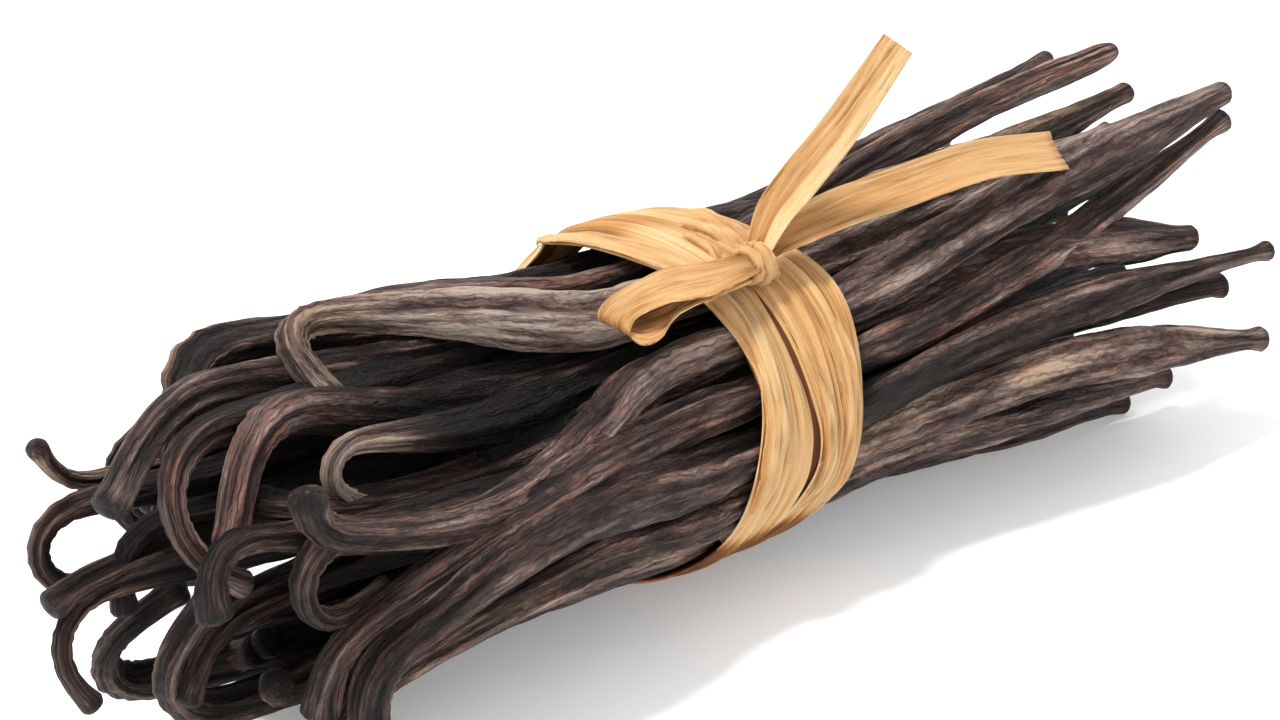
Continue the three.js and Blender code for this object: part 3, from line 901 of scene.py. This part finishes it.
def lay(piece, left, right, cup=None, deep=None):
    """Lays a flat strip between two edge lines that run side by side."""
    flat = get_points(piece.data) / MM
    share = flat[:, 0] / flat[:, 0].max()
    across = flat[:, 1] / np.ptp(flat[:, 1]) + 0.5
    at = share * (len(left) - 1)

    def along(values):
        return np.stack([np.interp(at, np.arange(len(values)), column) for column in values.T], 1)

    outward = unit(np.cross(right - left, headings((left + right) / 2)))
    rise = flat[:, 2] + (cup(share, across) if cup else 0)
    place = mix(along(left), along(right), across[:, None]) + along(outward) * rise[:, None]
    set_points(piece.data, (place - LAYOUT_MIDDLE) * MM)
    set_numbers(piece.data, "deep", deep(share, across) if deep else 0 * share)
    select_only(piece)
    bpy.ops.object.mode_set(mode="EDIT")
    bpy.ops.mesh.select_all(action="SELECT")
    bpy.ops.mesh.normals_make_consistent(inside=False)
    bpy.ops.object.mode_set(mode="OBJECT")
    shade_smooth(piece)
    return piece


def band_x(angle):
    """Where the band's middle crosses the bundle at an angle round it."""
    return BAND_CENTRE + BAND_SLANT * cos(angle - BAND_SLANT_AT)


def band_width(angle):
    return BAND_WIDTH + BAND_WIDENING * cos(angle)


def band_lift(angle, x):
    """How far the band stands off the pods, most over the top and in its middle."""
    hump = np.clip(1 - ((x - BAND_LIFT_X) / BAND_LIFT_REACH) ** 2, 0, 1)
    return BAND_LIFT * np.exp(-((angle - BAND_LIFT_AT) / BAND_LIFT_SPAN) ** 2) * hump


def softened(values):
    values = np.array(values, float)
    for _ in range(SOFTENING_PASSES):
        values[1:-1] = (values[:-2] + 2 * values[1:-1] + values[2:]) / 4
    return values


def band_edge(angles, shares, level, listed=True):
    """One edge of a strand, round the waist, from its shares of the band's width."""
    share = softened(np.interp(angles, STRAND_ANGLES, shares) if listed else shares)
    x = band_x(angles) + share * band_width(angles)
    outward = np.stack([0 * angles, -cos(angles), sin(angles)], axis=1)
    out = BAND_INSIDE + level + band_lift(angles, x)
    return np.array([waist_point(a, 1, b) for a, b in zip(angles, x)]) + outward * out[:, None]


def band_strand(name, strand, space, seed, start=-90, end=270):
    """One strand of the band, laid round the waist."""
    angles = np.linspace(start, end, int((end - start) / BAND_STEP) + 1)
    level = strand["level"] * smooth((angles - start) / strand.get("rise", NO_RISE))
    left, right = (band_edge(angles, strand[side], level) for side in ("left", "right"))
    width = float(np.linalg.norm(right - left, axis=1).mean())
    piece = strip(name, distances(left)[-1], width, space, seed, strand["relief"])

    crest_depth, crest_from, crest_to = strand["crest"]

    # Painted shade: deeper under the bundle, but for the right strand's rim, and over the crest.
    def deep(share, across):
        angle = start + share * (end - start)
        rim = smooth((across - RIM_SHARE) / RIM_FADE)
        rim = rim * (angle > RIM_FROM) * (strand is RIGHT_STRAND)
        under = smooth((UNDERSIDE_FROM - angle) / UNDERSIDE_RANGE)
        under = UNDERSIDE_DEPTH * under * (1 - rim)
        beside = smooth((across - crest_from) / CREST_FADE)
        beside = beside * smooth((crest_to - across) / CREST_FADE)
        crest = crest_depth * smooth((angle - CREST_FROM) / CREST_RANGE) * beside
        return np.maximum(np.maximum(under, crest), strand["deep"])

    return lay(piece, left, right, rolled_edges(EDGE_ROLL), deep)


def gather(name, gathered, space, seed):
    """A narrow fold of the band near the knot, over the strands."""
    listed = gathered["angles"]
    angles = np.linspace(listed[0], listed[-1], GATHER_STEPS)
    left, right = (
        band_edge(angles, np.interp(angles, listed, gathered[side]), GATHER_LEVEL, False)
        for side in ("left", "right"))
    width = float(np.linalg.norm(right - left, axis=1).mean())
    piece = strip(name, distances(left)[-1], width, space, seed, GATHER_RELIEF)

    def tucked(share, across):
        ends = smooth((GATHER_UP - share) / GATHER_UP)
        ends = ends + smooth((share - GATHER_DOWN) / (1 - GATHER_DOWN))
        return -GATHER_LEVEL * ends - GATHER_ROLL * np.abs(2 * across - 1) ** 3

    # The dark sides are painted shade, where a gather lies over the strands beside it.
    def sides(share, across):
        along = smooth(share / GATHER_DARK_UP) * smooth((1 - share) / GATHER_DARK_DOWN)
        beside = smooth((np.abs(2 * across - 1) - GATHER_SIDE_FROM) / GATHER_SIDE_FADE)
        return gathered["side"] * along * beside

    return lay(piece, left, right, tucked, sides)


def ribbon(name, left_points, right_points, space, seed, cup=None, relief=1.0, deep=None):
    """A ribbon between two edges, each a smooth line through its own points."""
    left = smooth_line(left_points)
    right = smooth_line(right_points)
    length = distances((left + right) / 2)[-1]
    width = float(np.linalg.norm(right - left, axis=1).max())
    piece = strip(name, length, width, space, seed, relief)
    return lay(piece, left, right, cup, deep)


def edges_beside(points, facing, widths):
    """The two edges of a ribbon whose middle runs through the points."""
    points = np.array(points, float)
    normals = carried_normals(points, facing)
    sideways = unit(np.cross(headings(points), normals)) * np.array(widths)[:, None] / 2
    return points - sideways, points + sideways


def knot_wrap(name, wrap, space, seed):
    """One turn of the knot, round the ribbons that it holds."""
    x, high, wide, lean, width = wrap
    angles = np.linspace(KNOT_FROM, KNOT_TO, KNOT_STEPS)
    turned = Matrix.Rotation(math.radians(KNOT_TILT), 3, "X")
    sides = []
    for way in (-0.5, 0.5):
        half = way * width * (1 - KNOT_PINCH + KNOT_PINCH * np.abs(sin(angles)))
        edge = []
        for angle, off in zip(angles, half):
            local = Vector((x + lean * sin(angle) + off, -wide * cos(angle), high * sin(angle)))
            edge.append(KNOT_MIDDLE + np.array(turned @ local))
        sides.append(np.array(edge))
    left, right = sides
    piece = strip(name, distances(left)[-1], width, space, seed, KNOT_RELIEF)
    return lay(piece, left, right, rolled_edges(KNOT_ROLL), dark_edges(KNOT_EDGE_DEPTH))


def rolled_edges(depth):
    """Both edges turned down, as a ribbon's are where it is pulled tight."""
    def cup(share, across):
        return -depth * np.abs(2 * across - 1) ** 4
    return cup


def dark_edges(depth):
    """Deeper colour along both edges: painted shade where one turn lies tight beside the next."""
    def deep(share, across):
        return depth * np.abs(2 * across - 1) ** 5
    return deep


def raised_edges(height, fade):
    """A channel whose edges stand up, flattening towards the strip's far end."""
    def cup(share, across):
        edge = np.abs(2 * across - 1)
        return height * (1 - fade * share) * edge ** 2.2
    return cup


def folded_edge(height, crease):
    """The strip's far side is folded up past a crease, and the fold dies out along it."""
    def cup(share, across):
        past = np.clip(across - crease, 0, 1) / (1 - crease)
        near = np.clip(crease - across, 0, 1) / crease
        left = 1 - RISING_FOLD_FADE * smooth(share * RISING_FOLD_RATE)
        return height * left * (past + RISING_NEAR_SHARE * near ** 2)
    return cup


def facing_sides(crease, near, far):
    """A strip folded along a crease: how deep its colour is on either side, fading along it.

    Painted shade on the near side and in the crease, painted light on the side folded up.
    """
    def deep(share, across):
        line = CREASE_LINE_DEPTH * np.exp(-((across - crease) / CREASE_LINE) ** 2)
        past = smooth((across - crease + CREASE_FADE / 2) / CREASE_FADE)
        return (mix(near, far, past) + line) * (1 - RISING_DEPTH_FADE * share)
    return deep


def channel_lines(share, across):
    """A channel deeper in colour inside, with a dark line along each raised edge: painted shade."""
    low, high = CHANNEL_SIDES
    lines = sum(np.exp(-((across - line) / CREASE_LINE) ** 2) for line in CHANNEL_LINES)
    inside = smooth((across - low) / CHANNEL_FADE) * smooth((high - across) / CHANNEL_FADE)
    strength = CHANNEL_DEPTH * inside + CHANNEL_LINE_DEPTH * lines
    return strength * (1 - CHANNEL_LOSS * smooth(share / CHANNEL_LOSS_BY))


def inside_of_loop(share, across):
    """The loop's lower run, seen from within, deeper in colour as painted shade, but for its rim.
    """
    within = np.exp(-((share - LOOP_INSIDE_AT) / LOOP_INSIDE_RANGE) ** 2)
    within = within * (1 - smooth((across - LOOP_RIM_FROM) / LOOP_RIM_FADE))
    return LOOP_INSIDE_DEPTH * within + LOOP_DEPTH


def make_raffia(space):
    cloud_texture("pleats", PLEATS[0])
    cell_texture("folds", FOLDS[0])
    cell_texture("fibres", FIBRES[0])
    straw = raffia_material()
    strands = [
        band_strand("left_strand", LEFT_STRAND, space, 3.1),
        band_strand("right_strand", RIGHT_STRAND, space, 5.2),
        band_strand("slit_strand", SLIT_STRAND, space, 7.3, -60, 90),
        band_strand("edge_strand", EDGE_STRAND, space, 9.4, -10, 75),
        band_strand("lip_strand", LIP_STRAND, space, 8.2, 50, 124),
    ]
    strands += [gather(f"gather_{i}", gathered, space, 31.5 + i * 2.1)
                for i, gathered in enumerate(GATHERS)]
    wraps = [knot_wrap(f"wrap_{i}", wrap, space, 11.5 + i * 2.1)
             for i, wrap in enumerate(KNOT_WRAPS)]
    loop = ribbon("raffia_loop", LOOP_FAR_EDGE, LOOP_NEAR_EDGE, space, 17.8,
                  rolled_edges(LOOP_ROLL), LOOP_RELIEF, inside_of_loop)
    rising = ribbon("rising_tail", *edges_beside(RISING_TAIL, RISING_FACING, RISING_WIDTHS), space,
                    19.9, folded_edge(RISING_FOLD, RISING_CREASE), TAIL_RELIEF,
                    facing_sides(RISING_CREASE, *RISING_DEPTHS))
    lying = ribbon("lying_tail", *edges_beside(LYING_TAIL, LYING_FACING, LYING_WIDTHS), space,
                   22.1, raised_edges(LYING_EDGE, LYING_EDGE_FADE), TAIL_RELIEF, channel_lines)
    pieces = {
        "raffia_band": join(strands, "raffia_band"),
        "raffia_knot": join(wraps, "raffia_knot"),
        "raffia_loop": loop,
        "raffia_tails": join([rising, lying], "raffia_tails"),
    }
    for piece in pieces.values():
        dress(piece, ["raffia_tie"], straw)


# ---- materials ----

# Noise lies mostly between these two.
NOISE_LOW = 0.3
NOISE_HIGH = 0.7

# From the deepest creases to the highest ridges: near-black creases are partly painted shade and
# light tan ridges partly painted light, besides the skin's own tone.
SKIN_COLOURS = [
    (0.0, (0.0025, 0.0013, 0.0013)),
    (0.28, (0.0115, 0.0060, 0.0054)),
    (0.5, (0.053, 0.0298, 0.0255)),
    (0.72, (0.155, 0.104, 0.088)),
    (1.0, (0.38, 0.305, 0.26)),
]
SKIN_RANGE = (0.34, 1.37)
RUST_TINT = (1.2, 0.78, 0.68)
TAN_TINT = (1.3, 1.2, 0.85)
SKIN_SPECULAR = 0.26
SKIN_ROUGHNESS = (0.34, 0.6)
# In metres along the bundle: its tips are lighter than its stem ends.
LIGHTENING_FROM = -0.07
LIGHTENING_TO = 0.07

STRAW_COLOURS = [
    (0.0, (0.105, 0.030, 0.009)),
    (0.2, (0.36, 0.132, 0.034)),
    (0.42, (0.61, 0.30, 0.098)),
    (0.68, (0.775, 0.475, 0.208)),
    (1.0, (0.92, 0.74, 0.46)),
]
STRAW_RANGE = (0.5, 1.58)
STRAW_TINTS = [(0.0, (1.0, 0.82, 0.76)), (0.5, (1.0, 0.96, 0.92)), (1.0, (0.97, 1.0, 0.84))]
STRAW_SPECULAR = 0.28
STRAW_ROUGHNESS = 0.55


def new_material(name):
    material = bpy.data.materials.new(name)
    material.use_nodes = True
    tree = material.node_tree
    return material, tree, tree.nodes["Principled BSDF"]


def node(tree, kind, **values):
    made = tree.nodes.new(kind)
    for key, value in values.items():
        if key in made.inputs:
            made.inputs[key].default_value = value
        else:
            setattr(made, key, value)
    return made


def link(tree, source, target):
    tree.links.new(source, target)


def attribute(tree, name):
    return node(tree, "ShaderNodeAttribute", attribute_name=name)


def stretched_noise(tree, vector, along, size, detail=3, roughness=0.55):
    """Noise drawn out along the first axis of the vector, where it is scaled by a small share."""
    mapping = node(tree, "ShaderNodeMapping", Scale=(along, 1, 1))
    link(tree, vector, mapping.inputs["Vector"])
    noise = node(tree, "ShaderNodeTexNoise", Scale=size, Detail=detail, Roughness=roughness)
    link(tree, mapping.outputs["Vector"], noise.inputs["Vector"])
    return noise.outputs["Fac"]


def ramp(tree, source, stops):
    made = node(tree, "ShaderNodeValToRGB")
    link(tree, source, made.inputs["Fac"])
    band = made.color_ramp
    while len(band.elements) < len(stops):
        band.elements.new(0.5)
    for element, (place, colour) in zip(band.elements, stops):
        element.position = place
        element.color = (*colour, 1)
    return made.outputs["Color"]


def remap(tree, source, low, high, to_low=0, to_high=1):
    made = node(tree, "ShaderNodeMapRange")
    for socket, value in zip(("From Min", "From Max", "To Min", "To Max"),
                             (low, high, to_low, to_high)):
        made.inputs[socket].default_value = value
    link(tree, source, made.inputs["Value"])
    return made.outputs["Result"]


def widened(tree, noise, to_low=0, to_high=1):
    """Noise spread over a whole range."""
    return remap(tree, noise, NOISE_LOW, NOISE_HIGH, to_low, to_high)


def blend(tree, mode, fac, a, b):
    made = node(tree, "ShaderNodeMix", data_type="RGBA", blend_type=mode)
    for socket, value in (("Factor", fac), ("A", a), ("B", b)):
        target = [s for s in made.inputs if s.name == socket and s.enabled][0]
        if isinstance(value, bpy.types.NodeSocket):
            link(tree, value, target)
        elif socket == "Factor":
            target.default_value = value
        else:
            target.default_value = (*value, 1)
    return [s for s in made.outputs if s.enabled][0]


def math_node(tree, operation, a, b):
    made = node(tree, "ShaderNodeMath", operation=operation)
    for socket, value in zip(made.inputs, (a, b)):
        if isinstance(value, bpy.types.NodeSocket):
            link(tree, value, socket)
        else:
            socket.default_value = value
    return made.outputs["Value"]


def bump(tree, shader, height, distance, strength):
    made = node(tree, "ShaderNodeBump", Strength=strength, Distance=distance * MM)
    link(tree, height, made.inputs["Height"])
    link(tree, made.outputs["Normal"], shader.inputs["Normal"])


def wandering(tree, vector, size, amount):
    """The vector pushed about by a slow noise, so that lines on it wander."""
    noise = node(tree, "ShaderNodeTexNoise", Scale=size, Detail=2)
    link(tree, vector, noise.inputs["Vector"])
    push = node(tree, "ShaderNodeVectorMath", operation="MULTIPLY_ADD")
    push.inputs[1].default_value = (amount, amount, amount)
    link(tree, noise.outputs["Color"], push.inputs[0])
    link(tree, vector, push.inputs[2])
    return push.outputs["Vector"]


def crease_net(tree, vector, along, size, width):
    """A net of thin creases with long meshes: 0 in a crease and 1 between them."""
    mapping = node(tree, "ShaderNodeMapping", Scale=(along, 1, 1))
    link(tree, vector, mapping.inputs["Vector"])
    cells = node(tree, "ShaderNodeTexVoronoi", feature="DISTANCE_TO_EDGE", Scale=size)
    link(tree, mapping.outputs["Vector"], cells.inputs["Vector"])
    return remap(tree, cells.outputs["Distance"], 0, width)


def weighted_sum(tree, parts):
    """The sum of sockets, each times its own number."""
    total = None
    for source, weight in parts:
        part = math_node(tree, "MULTIPLY", source, weight)
        total = part if total is None else math_node(tree, "ADD", total, part)
    return total


def pod_material():
    """Near-black oily skin, with tan and rust-brown ridges between thin wandering creases.

    Its relief darkens the creases as painted shade and lightens the ridges as painted light.
    """
    material, tree, shader = new_material("cured_pod_skin")
    stock = attribute(tree, "stock").outputs["Vector"]
    relief = attribute(tree, "relief").outputs["Fac"]
    look = node(tree, "ShaderNodeSeparateXYZ")
    link(tree, attribute(tree, "look").outputs["Vector"], look.inputs["Vector"])
    light, red, tan = (look.outputs[axis] for axis in "XYZ")
    place = node(tree, "ShaderNodeSeparateXYZ")
    link(tree, node(tree, "ShaderNodeTexCoord").outputs["Object"], place.inputs["Vector"])
    towards_tips = remap(tree, place.outputs["X"], LIGHTENING_FROM, LIGHTENING_TO, -0.5, 0.5)
    skin_space = wandering(tree, stock, size=0.32, amount=1.1)
    long_creases = crease_net(tree, skin_space, along=0.06, size=0.8, width=0.14)
    short_creases = crease_net(tree, skin_space, along=0.18, size=2.1, width=0.2)
    streaks = stretched_noise(tree, skin_space, along=0.06, size=1.2, detail=4)
    grain = stretched_noise(tree, skin_space, along=0.12, size=3.4, detail=5, roughness=0.75)
    specks = stretched_noise(tree, stock, along=0.4, size=4.2, roughness=0.6)
    patches = stretched_noise(tree, stock, along=0.3, size=0.22)
    blotches = stretched_noise(tree, stock, along=0.4, size=0.5)
    folds = weighted_sum(tree, [
        (long_creases, 0.3), (short_creases, 0.18), (grain, 0.6), (specks, 0.36),
    ])
    # Relief darkens the furrows as painted shade and lightens the ridges as painted light.
    height = weighted_sum(tree, [
        (remap(tree, relief, -0.8, 0.3), 0.5), (folds, 0.62),
        (widened(tree, streaks, -0.5, 0.5), 0.32), (light, 0.24),
        (widened(tree, patches, -0.5, 0.5), 0.34), (towards_tips, 0.16),
    ])
    skin = ramp(tree, remap(tree, height, *SKIN_RANGE), SKIN_COLOURS)
    rust = remap(tree, blotches, 0.45, 0.65)
    rust = math_node(tree, "MULTIPLY", rust, remap(tree, red, 0, 1, 0.2, 1))
    skin = blend(tree, "MULTIPLY", rust, skin, RUST_TINT)
    tanned = remap(tree, patches, 0.45, 0.7)
    tanned = math_node(tree, "MULTIPLY", tanned, remap(tree, tan, 0.3, 1))
    skin = blend(tree, "MULTIPLY", tanned, skin, TAN_TINT)
    link(tree, skin, shader.inputs["Base Color"])
    link(tree, widened(tree, grain, *SKIN_ROUGHNESS), shader.inputs["Roughness"])
    shader.inputs["Specular IOR Level"].default_value = SKIN_SPECULAR
    bump(tree, shader, folds, distance=0.55, strength=0.9)
    return material


def raffia_material():
    """Pale golden straw, finely fibred along its length and deeper orange in its folds.

    The deeper orange is painted shade, as is the darkening in the pleats' hollows.
    """
    material, tree, shader = new_material("raffia_straw")
    stock = attribute(tree, "stock").outputs["Vector"]
    relief = attribute(tree, "relief").outputs["Fac"]
    tone = attribute(tree, "tone").outputs["Fac"]
    deep = attribute(tree, "deep").outputs["Fac"]
    fibres = stretched_noise(tree, stock, along=0.025, size=2.6, detail=5, roughness=0.7)
    bands = stretched_noise(tree, stock, along=0.035, size=0.55)
    patches = stretched_noise(tree, stock, along=0.25, size=0.3, detail=2)
    straw_space = wandering(tree, stock, size=0.3, amount=0.5)
    lines = crease_net(tree, straw_space, along=0.018, size=0.46, width=0.13)
    # Relief and deep paint light and shade: lighter pleat crests, deeper orange hollows and folds.
    height = weighted_sum(tree, [
        (remap(tree, relief, -0.75, 0.45), 0.7), (widened(tree, fibres), 0.46),
        (widened(tree, bands), 0.52), (tone, 0.08), (deep, -0.75), (lines, 0.46),
    ])
    straw = ramp(tree, remap(tree, height, *STRAW_RANGE), STRAW_COLOURS)
    tint = ramp(tree, widened(tree, patches), STRAW_TINTS)
    link(tree, blend(tree, "MULTIPLY", 1.0, straw, tint), shader.inputs["Base Color"])
    shader.inputs["Roughness"].default_value = STRAW_ROUGHNESS
    shader.inputs["Specular IOR Level"].default_value = STRAW_SPECULAR
    fibred = weighted_sum(tree, [(fibres, 0.5), (lines, 0.5)])
    bump(tree, shader, fibred, distance=0.16, strength=0.6)
    return material


# ---- stage, light and camera ----

CAMERA_PLACE = (-185.2, -225.9, 179.4)
CAMERA_AHEAD = (0.5510, 0.6952, -0.4617)
CAMERA_LENS = 70.3
CAMERA_SENSOR = 36

# In metres and watts.
KEY_PLACE = (-0.27, 0.1, 0.76)
KEY_SIZE = 0.13
KEY_POWER = 6
WORLD_LIGHT = 1.04
WHITE = (1, 1, 1, 1)

FLOOR_SIZE = 6
FLOOR_DROP = 0.0002
FLOOR_COLOUR = (0.9, 0.9, 0.9, 1)
FLOOR_ROUGHNESS = 0.8
FLOOR_GLOW = 0.2


def make_camera():
    data = bpy.data.cameras.new("camera")
    data.lens = CAMERA_LENS
    data.sensor_width = CAMERA_SENSOR
    camera = bpy.data.objects.new("camera", data)
    camera.location = Vector(CAMERA_PLACE) * MM
    camera.rotation_euler = Vector(CAMERA_AHEAD).to_track_quat("-Z", "Y").to_euler()
    bpy.context.scene.collection.objects.link(camera)
    bpy.context.scene.camera = camera


def make_key_light():
    data = bpy.data.lights.new("key", "AREA")
    data.shape = "DISK"
    data.size = KEY_SIZE
    data.energy = KEY_POWER
    light = bpy.data.objects.new("key", data)
    light.location = KEY_PLACE
    light.rotation_euler = (-Vector(KEY_PLACE)).to_track_quat("-Z", "Y").to_euler()
    bpy.context.scene.collection.objects.link(light)


def make_stage():
    deselect_all()
    bpy.ops.mesh.primitive_plane_add(size=FLOOR_SIZE, location=(0, 0, -FLOOR_DROP))
    floor = bpy.context.object
    floor.name = "floor"
    material, _, shader = new_material("white_floor")
    shader.inputs["Base Color"].default_value = FLOOR_COLOUR
    shader.inputs["Roughness"].default_value = FLOOR_ROUGHNESS
    shader.inputs["Emission Color"].default_value = WHITE
    shader.inputs["Emission Strength"].default_value = FLOOR_GLOW
    floor.data.materials.append(material)
    world = bpy.data.worlds.new("world")
    world.use_nodes = True
    background = world.node_tree.nodes["Background"]
    background.inputs["Color"].default_value = WHITE
    background.inputs["Strength"].default_value = WORLD_LIGHT
    bpy.context.scene.world = world
    make_key_light()
    bpy.context.scene.view_settings.view_transform = "Standard"


# ---- the whole ----

def make_shade_core(skin):
    """The near-black middle of the bundle, painted shade that shows only deep between the pods."""
    deselect_all()
    bpy.ops.mesh.primitive_uv_sphere_add(segments=CORE_SIDES, ring_count=CORE_RINGS, radius=1,
                                         rotation=(0, math.pi / 2, 0))
    core = bpy.context.object
    core.name = "bundle_core"
    bpy.ops.object.transform_apply(rotation=True)
    ball = get_points(core.data)
    x = mix(CORE_FROM, CORE_TO, (ball[:, 0] + 1) / 2)
    out = np.hypot(ball[:, 1], ball[:, 2])
    share = CORE_FILL + CORE_FLARE * ((x - WAIST_X) / CORE_FLARE_AT) ** 2
    share = share * np.minimum(out * CORE_SQUARENESS, 1) / np.maximum(out, 0.001)
    reach = np.where(ball[:, 1] < 0, WAIST_FRONT, WAIST_BACK)
    z = WAIST_Z + ball[:, 2] * share * WAIST_HEIGHT
    barrel = np.column_stack([x, ball[:, 1] * share * reach, z])
    set_points(core.data, (barrel - LAYOUT_MIDDLE) * MM)
    set_vectors(core.data, "stock", barrel)
    set_numbers(core.data, "relief", 0 * x)
    set_vectors(core.data, "look", np.tile(CORE_SHADE_LOOK, (len(x), 1)))
    shade_smooth(core)
    dress(core, ["vanilla_pods"], skin)


def make_pods(space):
    textures = {"dents": DENTS, "furrows": FURROWS, "ridges": RIDGES, "creases": CREASES}
    cloud_texture("dents", DENTS[0])
    for name in ("furrows", "ridges", "creases"):
        cell_texture(name, textures[name][0])
    stock = rod("stock", ROD_SIDES, ROD_SECTIONS)
    coarse = rod("coarse_stock", FILLER_SIDES, FILLER_SECTIONS)
    roll_out(stock)
    roll_out(coarse)
    skin = pod_material()
    named = [pod_entry(entry) for entry in NAMED_PODS]
    groups = {name: named[start:end] for name, (start, end) in POD_PIECES.items()}
    groups["pods_back"] = [
        pod_entry(filler_entry(tie, place)) for place, tie in enumerate(FILLER_TIES)]
    make_shade_core(skin)
    index = 0
    for name, group in groups.items():
        pieces = []
        for pod in group:
            index += 1
            from_stock = coarse if name == "pods_back" else stock
            piece = make_pod(pod, from_stock, space, textures, index)
            lay_bake_map(piece, len(pieces), len(group))
            pieces.append(piece)
        dress(join(pieces, name), ["vanilla_pods"], skin)
    for scrap in (stock, coarse):
        bpy.data.objects.remove(scrap)


make_camera()
make_stage()
texture_axes = texture_space("texture_axes")
make_pods(texture_axes)
make_raffia(texture_axes)
bpy.data.objects.remove(texture_axes)
